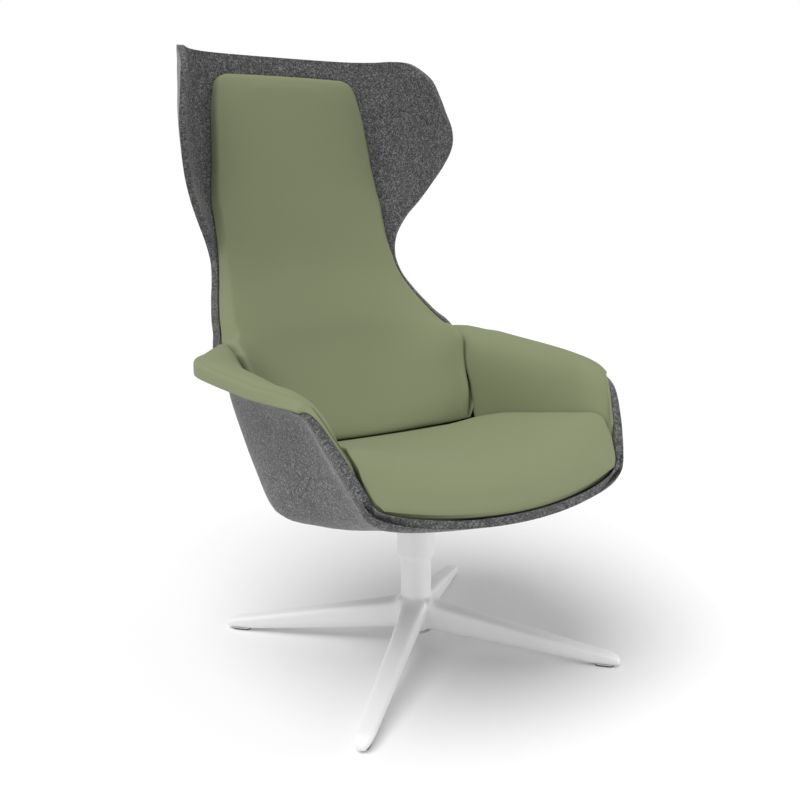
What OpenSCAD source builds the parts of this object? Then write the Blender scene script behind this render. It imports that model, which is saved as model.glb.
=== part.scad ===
// High back lounge chair: a moulded felt shell with head wings and flared arms, upholstered
// inside, on a swivel post with a cast base of four legs. Millimetres, +Z up. The front of the
// chair faces -Y, and the origin lies on the floor under the swivel axis.

/* [Shell] */
// Height of the shell's top edge
shell_top = 1129; // [1060:1:1200]
// Height of the inside of the shell's pan
pan_z = 282; // [272:1:297]
// How far the top edge lies behind the swivel axis
back_reach = 548; // [480:1:600]
// How far the front edge lies ahead of the swivel axis
front_reach = 321; // [290:1:350]
// Half width over the head wings
wing_half = 290; // [268:1:315]
// Half width at the waist, the narrowest place
waist_half = 209; // [190:1:230]
// Height of the waist
waist_z = 715; // [680:1:750]
// Half width of the shell over the flared arms
arm_half = 341; // [320:1:355]
// Height of the shell's edge along the arms
arm_z = 535; // [515:1:560]
// Half width at the two front corners
front_half = 243; // [232:1:256]
// Height of the front corners
lip_z = 385; // [370:1:410]
// Half width between the side walls of the pan
pan_half = 256; // [244:1:268]
// How far the moulded flat stands above the pan's own level
flat_rise = 5.5; // [3:0.5:6]
// Thickness of the felt
felt_t = 13; // [8:0.5:16]
// How far the middle of the front edge bows ahead of its corners
front_bow = 40; // [20:1:55]

/* [Upholstery] */
// Thickness of the back cushion over its upper half
back_pad_t = 40; // [25:1:55]
// Thickness of the back cushion at the lumbar
lumbar_t = 74; // [50:1:90]
// Height of the seat cushion at its crown
seat_top = 430; // [415:1:450]
// Height that the seat cushion's sides stand above its middle
seat_dish = 28; // [10:1:40]
// Thickness of the arm pads
arm_pad_t = 19; // [12:1:26]
// Thickness of the pad's lip round the edge of the felt
lip_t = 8; // [4:0.5:12]
// Radius that the cushions' edges are rounded to
cushion_r = 20; // [10:1:26]

/* [Swivel] */
// Radius of the post
post_r = 28.5; // [26:0.5:32]
// Height of the post's top
post_top = 219; // [209:1:223]
// Radius of the post's bore
bore_r = 19; // [17:0.5:21]
// Radius of the spindle
spindle_r = 14; // [11:0.5:15.5]
// Outer radius of the cover sleeve
sleeve_r = 35; // [33.5:0.5:40]
// Wall of the cover sleeve
sleeve_wall = 3; // [1.5:0.5:4]
// Height of the cover sleeve's lower end
sleeve_low = 183; // [170:1:200]
// Side of the square mounting plate
plate_side = 156; // [140:1:164]
// Thickness of the mounting plate
plate_t = 5; // [3:0.5:8]
// Distance between the bolts in each direction
bolt_pitch = 120; // [100:1:130]
// Radius of the bolts' shanks
bolt_r = 4; // [3:0.5:5]
// How far the middle of the plate and the board lies behind the swivel axis
plate_shift = 26; // [20:1:30]
// Side of the square seat board inside the shell
board_side = 148; // [136:1:152]
// Thickness of the seat board
board_t = 12; // [9:0.5:15]

/* [Base] */
// Distance from the axis to the middle of a glide
glide_reach = 354; // [315:1:385]
// How far a leg's tip lies past the middle of its glide
leg_past_glide = 28; // [24:1:40]
// Height of the legs' ridge where it meets the post
leg_root_top = 98; // [87:1:112]
// Height of the underside of the hub
hub_bottom = 43; // [37:1:51]
// Height of the ridge above the glides
leg_tip_top = 26; // [23:1:33]
// Half width of a leg beside the hub
leg_root_half = 29.5; // [25:0.5:32]
// Half width of a leg beside its tip
leg_tip_half = 19; // [17:0.5:22]
// Half the length of a glide, along its leg
glide_half = 17; // [12:0.5:20]
// Half the width of a glide
glide_wide = 7.5; // [6:0.5:8.5]
// Thickness of the sole under a glide
sole_t = 2.5; // [1.5:0.5:3]
// Height of the underside of a leg's tip
leg_tip_bottom = 4; // [3.5:0.5:7]

/* [Hidden] */

felt_color = "#5c5d60";
sage_color = "#8f9a72";
white_color = "#e9eaea";
steel_color = "#9ea3a8";
black_color = "#26272a";
ply_color = "#c8a878";

// Clearance between soft solids and what they lie on
soft_gap = 0.3;
// Clearance of a cushion over the felt's bends and of a pad's lip round the felt's edge
lip_gap = 1;
// Clearance between fixed pieces that slip into each other
slip = 0.05;
// Radial clearance of a running fit
run = 0.05;
// Overrun of every cut
over = 1;
// Step of the differences that give a surface its normal
du_share = 0.002;
dv_share = 0.02;

// STATIONS OF THE SHELL
// A station is one line across the shell, from its middle to its edge. Stations run from the top
// edge down the back, round through the pan and out to the front edge.

// Middle of each station: place along Y as a share of back_reach, or of front_reach where it is
// negative, and height as a share of the rise from the pan to the top edge
middle_shares = [
    [1.000, 1.000], [0.995, 0.983], [0.984, 0.950], [0.969, 0.903], [0.956, 0.862],
    [0.943, 0.821], [0.931, 0.779], [0.918, 0.738], [0.905, 0.695], [0.891, 0.651],
    [0.874, 0.606], [0.858, 0.558], [0.839, 0.511], [0.818, 0.466], [0.790, 0.424],
    [0.754, 0.378], [0.714, 0.331], [0.668, 0.280], [0.609, 0.230], [0.535, 0.174],
    [0.443, 0.110], [0.325, 0.046], [0.170, -0.001], [-0.030, -0.003], [-0.235, 0.009],
    [-0.440, 0.033], [-0.600, 0.054], [-0.738, 0.070], [-0.822, 0.080], [-0.876, 0.086]];

// Edge of each station down to the waist: half width as a share of the way from the waist's to
// the wings', place along Y as a share of back_reach, height as a share of the rise from the
// waist to the top edge
head_edge_shares = [
    [0.300, 0.874, 1.000], [0.520, 0.791, 0.981], [0.680, 0.691, 0.901], [0.810, 0.651, 0.807],
    [0.905, 0.625, 0.722], [1.000, 0.600, 0.633], [0.988, 0.600, 0.548], [0.889, 0.633, 0.464],
    [0.728, 0.679, 0.377], [0.519, 0.723, 0.285], [0.284, 0.765, 0.193], [0.086, 0.781, 0.097],
    [0.000, 0.768, 0.000]];

// Edge from there to the middle of the arm: half width as a share of the way from the waist's to
// the arms', place along Y as a share of back_reach, height as a share of the way from the arm's
// edge to the waist
side_edge_shares = [
    [0.038, 0.737, 0.789], [0.136, 0.684, 0.589], [0.250, 0.612, 0.394], [0.341, 0.543, 0.250],
    [0.492, 0.478, 0.130], [0.735, 0.416, 0.062], [0.939, 0.374, 0.040], [1.000, 0.309, 0.028],
    [0.989, 0.185, 0.019], [0.955, 0.045, 0.011]];

// Edge from there to the front corner: half width as a share of the way from the front corner's
// to the arms', place along Y as a share of front_reach, height as a share of the rise from the
// front corner to the arm's edge
front_edge_shares = [
    [0.884, -0.140, 1.005], [0.730, -0.345, 0.995], [0.580, -0.498, 0.955],
    [0.490, -0.596, 0.825], [0.262, -0.714, 0.500], [0.070, -0.802, 0.190],
    [0.000, -0.862, 0.000]];

// Half width of the wall of each station, as a share of its edge's half width down to station
// wall_switch_share and of pan_half past it
wall_shares = [
    0.896, 0.916, 0.933, 0.921, 0.914, 0.901, 0.901, 0.908, 0.915, 0.906,
    0.886, 0.868, 0.863, 0.872, 0.892, 0.902, 0.918,
    0.938, 0.949, 0.960, 0.966, 0.973, 0.980, 0.984, 0.978, 0.973, 0.970, 0.967, 0.948, 0.840];
wall_switch_share = 16;

// Section of each station: where its floor and its corner lie as shares of the wall, how far the
// rim has gone from the wall to the edge, and how far the corner, the wall and the rim have gone
// from the middle's level to the edge's
section_shares = [
    [0.47, 0.81, 0.60, 0.10, 0.45, 0.75], [0.46, 0.85, 0.64, 0.09, 0.48, 0.77],
    [0.47, 0.88, 0.54, 0.08, 0.52, 0.79], [0.46, 0.88, 0.53, 0.08, 0.53, 0.79],
    [0.46, 0.89, 0.48, 0.08, 0.53, 0.79], [0.45, 0.89, 0.48, 0.08, 0.53, 0.79],
    [0.45, 0.89, 0.52, 0.08, 0.53, 0.79], [0.46, 0.88, 0.54, 0.08, 0.52, 0.78],
    [0.44, 0.87, 0.52, 0.07, 0.50, 0.77], [0.43, 0.85, 0.54, 0.06, 0.48, 0.76],
    [0.43, 0.82, 0.55, 0.05, 0.45, 0.75], [0.42, 0.79, 0.55, 0.05, 0.44, 0.74],
    [0.44, 0.79, 0.55, 0.05, 0.44, 0.73], [0.42, 0.80, 0.57, 0.05, 0.44, 0.73],
    [0.44, 0.82, 0.56, 0.05, 0.44, 0.73], [0.45, 0.83, 0.58, 0.05, 0.46, 0.75],
    [0.47, 0.85, 0.64, 0.05, 0.50, 0.80], [0.50, 0.88, 0.50, 0.04, 0.53, 0.93],
    [0.53, 0.90, 0.28, 0.03, 0.55, 1.01], [0.595, 0.93, 0.25, 0.03, 0.56, 1.02],
    [0.63, 0.935, 0.27, 0.018, 0.55, 1.01], [0.66, 0.95, 0.28, 0.005, 0.525, 1.00],
    [0.73, 0.975, 0.30, -0.015, 0.55, 0.99], [0.63, 0.97, 0.36, 0.07, 0.56, 0.97],
    [0.62, 0.94, 0.45, 0.10, 0.56, 0.95], [0.60, 0.95, 0.58, 0.11, 0.54, 0.89],
    [0.56, 0.95, 0.70, 0.10, 0.51, 0.82], [0.52, 0.94, 0.76, 0.12, 0.48, 0.77],
    [0.49, 0.92, 0.72, 0.20, 0.50, 0.74], [0.42, 0.77, 0.69, 0.42, 0.74, 0.90]];

// How far the middle of each of the last stations bows ahead, as a share of front_bow
bow_start_share = 23;
bow_shares = [0.05, 0.15, 0.35, 0.60, 0.85, 0.975, 1.00];

// Rows and columns that the felt is drawn at, as station numbers and as shares of the half section
felt_row_shares = [0, 0.5, 1, 1.6, 2.4, 3.2, 4, 4.8, 5.6, 6.4, 7.2, 8, 8.8, 9.6, 10.4, 11.2, 12,
    12.8, 13.6, 14.4, 15.2, 15.8, 16.3, 16.8, 17.3, 17.8, 18.3, 18.8, 19.3, 19.8, 20.2, 20.6, 21,
    21.4, 21.86, 22.3, 22.8, 23.3, 23.68, 24, 24.4, 24.8, 25.2, 25.6, 26, 26.4, 26.8, 27.2, 27.6,
    28, 28.3, 28.6, 28.82, 29];
felt_column_shares = [0, 0.1, 0.2, 0.3, 0.36, 0.42, 0.48, 0.54, 0.60, 0.67, 0.74, 0.83, 1];

// BACK CUSHION
// Half section that the back cushion covers at each station
back_cover_shares = [
    [1.96, 0.190], [2.03, 0.206], [2.16, 0.220], [2.4, 0.235], [2.7, 0.245], [3.2, 0.250],
    [4, 0.254], [5.6, 0.263], [6.4, 0.271], [7.2, 0.284], [8, 0.313], [8.7, 0.352], [9.4, 0.42],
    [10.1, 0.50], [10.8, 0.61], [11.5, 0.72], [12.2, 0.82], [13, 0.845], [16, 0.85],
    [16.5, 0.81], [17, 0.725], [17.5, 0.675], [18.2, 0.630], [19, 0.590], [19.6, 0.562],
    [20.2, 0.53], [20.6, 0.505], [20.85, 0.475], [21.02, 0.432]];
// Rows of the back cushion: station in front, station behind, share of its thickness, how many
// stations further down the row's ends lie
back_row_shares = [
    [1.96, 1.98, 0.42, 0], [2.01, 2.07, 0.66, 0], [2.15, 2.2, 0.85, 0], [2.45, 2.45, 0.97, 0],
    [3.2, 3.2, 1, 0], [4, 4, 1, 0], [5.6, 5.6, 1, 0], [7.2, 7.2, 1, 0], [8, 8, 1, 0],
    [8.8, 8.8, 1, 0], [9.6, 9.6, 1, 0], [10.4, 10.4, 1, 0], [11.2, 11.2, 1, 0], [12, 12, 1, 0],
    [12.8, 12.8, 1, 0], [13.6, 13.6, 1, 0], [14.4, 14.4, 1, 0], [15.2, 15.2, 1, 0],
    [16, 15.8, 1, 0], [16.8, 16.3, 1, 0], [17.7, 16.8, 1, 0], [18.6, 17.3, 1, 0],
    [19.5, 17.8, 1, 0.02], [20.15, 18.3, 1, 0.07], [20.62, 18.8, 0.99, 0.12],
    [20.86, 19.3, 0.90, 0.16], [20.85, 19.6, 0.74, 0.17], [20.6, 19.8, 0.44, 0.15],
    [20.3, 20, 0.16, 0.1]];
// Columns of the cushions: share of the half width, share of the thickness, share of the roll
cushion_column_shares = [
    [0, 1, 0], [0.16, 1, 0], [0.32, 1, 0], [0.47, 1, 0], [0.60, 1, 0], [0.72, 0.99, 0],
    [0.83, 0.97, 0.01], [0.91, 0.92, 0.06], [0.96, 0.82, 0.22], [0.987, 0.66, 0.52],
    [1, 0.44, 1]];
// Columns behind the back cushion, which keep to the felt's own where the cushion is wide enough
rear_column_shares = [0, 0.12, 0.24, 0.36, 0.48, 0.54, 0.60, 0.67, 0.74, 0.79, 1];
column_step_share = 0.004;
// Stations between which the back cushion thickens towards its foot
thicken_from_share = 12.3;
thicken_to_share = 20.9;
// How much thinner the back cushion is towards its sides
side_thin_share = 0.28;

// SEAT CUSHION
// Rows of its top: place along Y as a share of back_reach or front_reach, height as a share of the
// rise from the pan to the crown, dish, half width between the pads and ahead of them, the front's
// bow, and the roll of the sides
seat_top_shares = [
    [0.424, 0.597, 0.00, 0.780, -0.8, 0.5], [0.395, 0.608, 0.04, 0.805, -0.65, 0.5],
    [0.350, 0.626, 0.10, 0.830, -0.4, 0.5], [0.300, 0.645, 0.22, 0.850, -0.15, 0.5],
    [0.255, 0.664, 0.42, 0.860, 0, 0.5], [0.215, 0.692, 0.70, 0.864, 0, 0.5],
    [0.150, 0.735, 0.88, 0.866, 0, 0.5], [0.080, 0.793, 0.95, 0.866, 0, 0.5],
    [0.000, 0.845, 0.98, 0.866, 0, 0.5], [-0.140, 0.893, 1.02, 0.866, 0.00, 0.5],
    [-0.280, 0.936, 1.10, 0.866, 0.02, 0.5], [-0.420, 0.970, 1.20, 0.866, 0.10, 0.5],
    [-0.560, 0.994, 1.30, 0.872, 0.25, 0.55], [-0.665, 1.000, 1.45, 0.893, 0.42, 0.55],
    [-0.745, 0.985, 1.42, 0.918, 0.62, 0.55], [-0.815, 0.950, 1.22, 0.938, 0.80, 0.55],
    [-0.870, 0.885, 0.97, 0.943, 0.89, 0.5], [-0.920, 0.795, 0.75, 0.942, 0.94, 0.5],
    [-0.955, 0.690, 0.74, 0.940, 0.97, 0.35], [-0.980, 0.600, 0.79, 0.937, 0.985, 0.20],
    [-0.989, 0.540, 0.86, 0.934, 0.985, 0.08]];
// Stations and half sections of its underside
seat_under_row_shares = [20.2, 20.6, 21, 21.4, 21.86, 22.3, 22.8, 23.3, 24, 24.4, 24.8, 25.6,
    26, 26.4, 26.8, 27.2, 27.6, 28, 28.3, 28.6, 28.82];
seat_under_shares = [
    [20, 0.30], [21, 0.333], [26, 0.333], [27, 0.36], [28, 0.48], [28.5, 0.68], [28.9, 0.84]];
// Distance round the seat board over which the underside stays clear of it
board_margin_share = 0.34;

// ARM PADS
// Rows of a pad: station, half section at its inner end, share of its thickness, how far its lip
// reaches down the felt's edge or, where negative, stands back from it, thickness at the rim
pad_row_shares = [
    [16.55, 0.822, 0.42, 0.1, 0.42], [16.8, 0.775, 0.80, 0.75, 0.80], [17.3, 0.712, 1, 1, 1], [17.8, 0.672, 1, 1, 0.98], [18.3, 0.640, 1, 1, 0.93],
    [18.8, 0.615, 1, 1, 0.86], [19.3, 0.591, 1, 1, 0.80], [19.8, 0.566, 1, 1, 0.75],
    [20.2, 0.544, 1, 1, 0.72], [20.6, 0.519, 1, 1, 0.69], [21, 0.465, 1, 1, 0.65],
    [21.4, 0.430, 1, 1, 0.62], [21.86, 0.410, 1, 1, 0.59], [22.3, 0.405, 1, 1, 0.55],
    [22.8, 0.405, 1, 1, 0.51], [23.3, 0.405, 1, 1, 0.48], [23.68, 0.405, 1, 1, 0.46],
    [24, 0.405, 1, 1, 0.45], [24.4, 0.405, 1, 1, 0.44], [24.8, 0.405, 0.97, 1, 0.44],
    [25, 0.405, 0.93, 1, 0.43], [25.2, 0.405, 0.88, 0.45, 0.43], [25.6, 0.405, 0.79, 0.15, 0.43],
    [26, 0.415, 0.70, 0, 0.42], [26.4, 0.44, 0.63, -0.6, 0.42], [26.8, 0.51, 0.55, -1, 0.42],
    [27.05, 0.58, 0.50, -1, 0.41], [27.2, 0.62, 0.45, -1, 0.38]];
// Columns under a pad, which keep to the felt's own past the pad's inner end
pad_column_shares = [0.36, 0.42, 0.48, 0.54, 0.60, 0.67, 0.74, 0.83];
// Shares of the thickness that round a pad's inner edge and its rim
pad_round_shares = [0.45, 0.85, 1];
// How far the pad stands back from the felt's edge ahead of the lip, as a share of the lip
pad_inset_share = 0.3;

// WHOLE STATIONS
function mix(a, b, s) = a + (b - a) * s;
function along(s) = s * (s < 0 ? front_reach : back_reach);
last = len(middle_shares) - 1;
head_count = len(head_edge_shares);
side_count = len(side_edge_shares);
flat_z = pan_z + flat_rise;

function middle(i) = [along(middle_shares[i][0]), mix(pan_z, shell_top, middle_shares[i][1])];
function head_edge(e) = [mix(waist_half, wing_half, e[0]), e[1] * back_reach,
    mix(waist_z, shell_top, e[2])];
function side_edge(e) = [mix(waist_half, arm_half, e[0]), e[1] * back_reach,
    mix(arm_z, waist_z, e[2])];
function front_edge(e) = [mix(front_half, arm_half, e[0]), e[1] * front_reach,
    mix(lip_z, arm_z, e[2])];
function edge(i) = i < head_count ? head_edge(head_edge_shares[i])
    : i < head_count + side_count ? side_edge(side_edge_shares[i - head_count])
    : front_edge(front_edge_shares[i - head_count - side_count]);
function wall(i) = wall_shares[i] * (i <= wall_switch_share ? edge(i)[0] : pan_half);
function bow(i) = i < bow_start_share ? 0 : front_bow * bow_shares[i - bow_start_share];
stations = [for (i = [0 : last])
    let (m = middle(i), e = edge(i), w = wall(i), s = section_shares[i])
    [m[0], m[1], e[0], e[1], e[2], s[0] * w, s[1] * w, w, mix(w, e[0], s[2]),
        s[3], s[4], s[5], bow(i)]];

// Smooth run through the stations
function row(v) =
    let (c = min(max(v, 0), last), i = min(floor(c), last - 1), f = c - i,
        p = stations[i], q = stations[i + 1],
        o = i > 0 ? stations[i - 1] : 2 * p - q,
        r = i < last - 1 ? stations[i + 2] : 2 * q - p)
    p + (q - o) * f / 2 + (2 * o - 5 * p + 4 * q - r) * f * f / 2
        + (3 * p - 3 * q + r - o) * f * f * f / 2;

// Drop below the top edge over which the felt turns from upright to its own slant
upright_rise = (shell_top - waist_z) * 0.2;

// Point of a station's section, u from -1 at the right edge through the middle to 1 at the left
span_count = 6;
function weights(f) = [pow(1 - f, 3), 3 * pow(f, 3) - 6 * f * f + 4,
    -3 * pow(f, 3) + 3 * f * f + 3 * f + 1, pow(f, 3)] / 6;
function spot(R, u) =
    let (a = min(abs(u), 1) * span_count, i = min(floor(a), span_count - 1), w = weights(a - i),
        X = [-R[5], 0, R[5], R[6], R[7], R[8], R[2], R[2], R[2]],
        T = [R[9] / 4, 0, R[9] / 4, R[9], R[10], R[11], 1, 1, 1],
        x = w * [X[i], X[i + 1], X[i + 2], X[i + 3]],
        t = w * [T[i], T[i + 1], T[i + 2], T[i + 3]])
    [sign(u) * x, mix(R[0], R[3], t) - R[12] * (1 - pow(x / R[2], 2)),
        max(flat_z, mix(R[1], R[4], t))];
function unit(a) = a / norm(a);

// Direction that the inside of the shell faces, which turns level at the top edge
function facing(R, A, B, u) =
    let (n = unit(cross(spot(B, u) - spot(A, u),
        spot(R, min(u + du_share, 1)) - spot(R, max(u - du_share, -1)))))
    unit([n[0], n[1], n[2] * min((shell_top - R[1]) / upright_rise, 1)]);

// Line across the shell at one station, lifted off the inside by one distance for each point
function line_at(v, us, lifts) =
    let (R = row(v), A = row(v - dv_share), B = row(v + dv_share))
    [for (j = [0 : len(us) - 1]) spot(R, us[j]) + facing(R, A, B, us[j]) * lifts[j]];

// Place on the felt's drawn faces, which run straight between its rows and columns
function before(list, a) = max([for (k = [0 : len(list) - 2]) if (list[k] <= a || k == 0) k]);
function drawn(R, u) =
    let (k = before(felt_us, u), f = (u - felt_us[k]) / (felt_us[k + 1] - felt_us[k]))
    mix(spot(R, felt_us[k]), spot(R, felt_us[k + 1]), f);
function on_felt(v, u) =
    let (k = before(felt_row_shares, v), A = felt_row_shares[k], B = felt_row_shares[k + 1])
    mix(drawn(row(A), u), drawn(row(B), u), (v - A) / (B - A));
function over_felt(v, us, lifts) =
    let (R = row(v), A = row(v - dv_share), B = row(v + dv_share))
    [for (j = [0 : len(us) - 1]) on_felt(v, us[j]) + facing(R, A, B, us[j]) * lifts[j]];
function even(n, value) = [for (j = [1 : n]) value];
function both_sides(half) = concat(
    [for (k = [len(half) - 1 : -1 : 1]) -half[k]], [0], [for (k = [1 : len(half) - 1]) half[k]]);
function both_alike(half) = concat(
    [for (k = [len(half) - 1 : -1 : 1]) half[k]], half);

// Solid between two grids of points, the first of which faces the sitter
module slab(front, rear) {
    m = len(front);
    n = len(front[0]);
    size = m * n;
    half = (n - 1) / 2;
    inner = [for (i = [0 : m - 2], j = [0 : n - 2], k = [0 : 1])
        let (a = i * n + j, b = a + 1, c = a + n, d = c + 1)
        j < half ? (k == 0 ? [a, b, d] : [a, d, c]) : (k == 0 ? [a, b, c] : [b, d, c])];
    outer = [for (t = inner) [t[0] + size, t[2] + size, t[1] + size]];
    loop = concat([for (j = [0 : n - 2]) j], [for (i = [0 : m - 2]) i * n + n - 1],
        [for (j = [n - 1 : -1 : 1]) (m - 1) * n + j], [for (i = [m - 1 : -1 : 1]) i * n]);
    rim = [for (k = [0 : len(loop) - 1], h = [0 : 1])
        let (a = loop[k], b = loop[(k + 1) % len(loop)])
        k >= 2 * n + m - 3
            ? (h == 0 ? [b, a, b + size] : [a, a + size, b + size])
            : (h == 0 ? [b, a, a + size] : [b, a + size, b + size])];
    polyhedron(concat([for (r = front) each r], [for (r = rear) each r]),
        concat(inner, outer, rim), convexity = 10);
}

// Solid through a run of closed rings, with a fan over each end
module loft(rings) {
    m = len(rings);
    n = len(rings[0]);
    hub = [for (r = [rings[0], rings[m - 1]]) [for (c = [0 : 2]) [for (p = r) p[c]] * even(n, 1) / n]];
    side = [for (i = [0 : m - 2], j = [0 : n - 1], k = [0 : 1])
        let (a = i * n + j, b = i * n + (j + 1) % n, c = a + n, d = b + n)
        k == 0 ? [a, c, b] : [b, c, d]];
    ends = [for (j = [0 : n - 1], k = [0 : 1])
        let (a = j, b = (j + 1) % n)
        k == 0 ? [a, b, m * n] : [(m - 1) * n + b, (m - 1) * n + a, m * n + 1]];
    polyhedron(concat([for (r = rings) each r], hub), concat(side, ends), convexity = 10);
}

// FELT SHELL
felt_us = both_sides(felt_column_shares);
plate_top = flat_z - felt_t;
plate_low = plate_top - plate_t;
hole_gap = bolt_r / 8;

module at_bolts() {
    for (x = [-1, 1], y = [-1, 1]) {
        translate([x * bolt_pitch / 2, plate_shift + y * bolt_pitch / 2, 0]) children();
    }
}

module felt_shell() {
    color(felt_color) difference() {
        slab([for (v = felt_row_shares) line_at(v, felt_us, even(len(felt_us), 0))],
            [for (v = felt_row_shares) line_at(v, felt_us, even(len(felt_us), -felt_t))]);
        at_bolts() translate([0, 0, plate_top - over])
            cylinder(r = bolt_r + hole_gap, h = felt_t + 2 * over);
        translate([0, plate_shift, flat_z])
            linear_extrude(board_t) rounded_square(board_side + 4 * slip);
    }
}

// Back cushion
function cover(v) = lookup(v, back_cover_shares);
pad_us = both_sides([for (c = cushion_column_shares) c[0]]);
pad_full = both_alike([for (c = cushion_column_shares) c[1]]);
pad_roll = both_alike([for (c = cushion_column_shares) c[2]]);
function thickness(v) = mix(back_pad_t, lumbar_t,
    min(max((v - thicken_from_share) / (thicken_to_share - thicken_from_share), 0), 1));
function lift(v, j, share) = soft_gap
    + thickness(v) * share * pad_full[j] * (1 - side_thin_share * pow(abs(pad_us[j]), 3));
function seat_level(x, y) =
    let (s = y / back_reach, a = min(abs(x) / pan_half / lookup(s, seat_half_table), 1))
    mix(pan_z, seat_top, lookup(s, seat_rise_table))
        + seat_dish * lookup(s, seat_dish_table) * pow(a, 2.5);
function above_seat(p) = [p[0], p[1], max(p[2], seat_level(p[0], p[1]) + seam_gap)];
function front_point(v, j, share) =
    above_seat(line_at(v, [cover(v) * pad_us[j]], [lift(v, j, share)])[0]);

function rear_us(end) =
    let (n = len(rear_column_shares) - 1)
    both_sides([for (k = [0 : n])
        k == 0 ? 0 : min(rear_column_shares[k], end - column_step_share * (n - k))]);

seat_rise_table = [for (r = seat_top_shares) [r[0], r[1]]];
seat_dish_table = [for (r = seat_top_shares) [r[0], r[2]]];
seat_half_table = [for (r = seat_top_shares) [r[0], r[3]]];
seam_gap = 4 * soft_gap;

rear_lifts = [for (a = both_alike(rear_column_shares)) a > 0.3 ? lip_gap * 1.6 : soft_gap];

module back_cushion() {
    color(sage_color) slab(
        [for (r = back_row_shares) [for (j = [0 : len(pad_us) - 1])
            front_point(r[0] + r[3] * pow(pad_us[j], 4), j, r[2])]],
        [for (r = back_row_shares) over_felt(r[1], rear_us(cover(r[1])), rear_lifts)]);
}

// Seat cushion
board_low = flat_z;
board_top = flat_z + board_t;
nut_flange_t = bolt_r / 3;
under_z = board_top + nut_flange_t + soft_gap;
function near_board(p) = max(abs(p[0]), abs(p[1] - plate_shift))
    < board_side * (board_margin_share + 1 / 2);
function top_point(r, j) =
    let (x = pad_us[j] * r[3] * pan_half, a = abs(pad_us[j]))
    [x, along(r[0]) + r[4] * front_bow * a * a,
        mix(pan_z, seat_top, r[1]) + seat_dish * r[2] * pow(a, 2.5) - cushion_r * r[5] * pad_roll[j]];
function under_line(v) =
    [for (p = over_felt(v, lookup(v, seat_under_shares) * pad_us, even(len(pad_us), lip_gap)))
        near_board(p) ? [p[0], p[1], max(p[2], under_z)] : p];

module seat_cushion() {
    color(sage_color) slab(
        [for (r = seat_top_shares) [for (j = [0 : len(pad_us) - 1]) top_point(r, j)]],
        [for (v = seat_under_row_shares) under_line(v)]);
}

// Arm pads
function pad_us_from(start) =
    let (n = len(pad_column_shares) - 1)
    [for (k = [0 : n]) k == 0 ? start : max(pad_column_shares[k], start + column_step_share * k)];
function rim_frame(v) =
    let (R = row(v), N = facing(R, row(v - dv_share), row(v + dv_share), 1), C = spot(R, 1))
    [C, unit(C - spot(R, 1 - 20 * du_share)), N];
function drawn_rim(v) =
    let (k = before(felt_row_shares, v), A = felt_row_shares[k], B = felt_row_shares[k + 1],
        P = rim_frame(A), Q = rim_frame(B))
    [for (i = [0 : 2]) mix(P[i], Q[i], (v - A) / (B - A))];
function pad_ring(r) =
    let (R = row(r[0]), A = row(r[0] - dv_share), B = row(r[0] + dv_share), t = arm_pad_t * r[2],
        lip = max(r[3], 0), back = max(-r[3], 0), rim_t = arm_pad_t * r[4],
        us = pad_us_from(r[1]), n = len(us) - 1, free = r[1] + column_step_share * (n + 1),
        steps = n - len(pad_round_shares) + 2, F = drawn_rim(r[0]), C = F[0], E = F[1], N = F[2],
        inset = lip_t * pad_inset_share, e_in = mix(lip_gap * 1.6, -inset - lip_gap, back),
        e_out = mix(mix(2.6 * lip_gap, lip_t, lip), -inset, back),
        n_low = mix(lip_gap, -felt_t, lip), n_rise = max(rim_t, 2 * lip_gap))
    concat([for (k = [0 : n]) on_felt(r[0], us[k])
            + facing(R, A, B, us[k]) * (k < n - 1 && us[k] > free ? soft_gap : lip_gap)],
        [C + E * e_in + N * lip_gap * 1.5, C + E * e_in + N * n_low,
            C + E * e_out + N * (n_low + lip_gap / 4),
            C + E * e_out + N * mix(lip_gap, n_rise, pad_round_shares[0]),
            C + E * (e_out - n_rise / 8) + N * n_rise * pad_round_shares[1],
            C + E * (e_out - n_rise / 2.4) + N * n_rise],
        [for (k = [0 : steps - 1]) let (u = mix(us[n], us[1], k / steps))
            spot(R, u) + facing(R, A, B, u) * mix(rim_t, t, min((k + 1) / 3, 1))],
        [for (k = [len(pad_round_shares) - 1 : -1 : 0]) let (u = mix(us[0], us[1], k / 6))
            spot(R, u) + facing(R, A, B, u) * max(t * pad_round_shares[k], 2 * soft_gap)]);

module arm_pad() {
    loft([for (r = pad_row_shares) pad_ring(r)]);
}

module arm_pad_left() {
    color(sage_color) arm_pad();
}

module arm_pad_right() {
    color(sage_color) mirror([1, 0, 0]) arm_pad();
}

// Seat board and plate
corner_share = 0.08;
module rounded_square(side) {
    r = side * corner_share;
    square([side - 2 * r, side], center = true);
    square([side, side - 2 * r], center = true);
    for (x = [-1, 1], y = [-1, 1]) {
        translate([x, y] * (side / 2 - r)) circle(r);
    }
}

nut_wall = bolt_r * 0.4;
nut_flange_r = bolt_r * 2.4;
nut_depth = board_t * 0.75;

module seat_board() {
    color(ply_color) difference() {
        translate([0, plate_shift, board_low]) linear_extrude(board_t) rounded_square(board_side);
        at_bolts() translate([0, 0, board_low - over])
            cylinder(r = bolt_r + nut_wall + slip, h = board_t + 2 * over);
    }
}

module tee_nuts() {
    color(steel_color) at_bolts() difference() {
        union() {
            translate([0, 0, board_top]) cylinder(r = nut_flange_r, h = nut_flange_t);
            translate([0, 0, board_top - nut_depth])
                cylinder(r = bolt_r + nut_wall, h = nut_depth + nut_flange_t / 2);
        }
        translate([0, 0, board_low]) cylinder(r = bolt_r + slip, h = board_t + nut_flange_t + over);
    }
}

washer_t = bolt_r * 0.4;
washer_r = bolt_r * 2;
bolt_head_r = bolt_r * 1.6;
bolt_head_h = bolt_r * 1.3;
socket_hex_share = 0.5;

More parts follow.
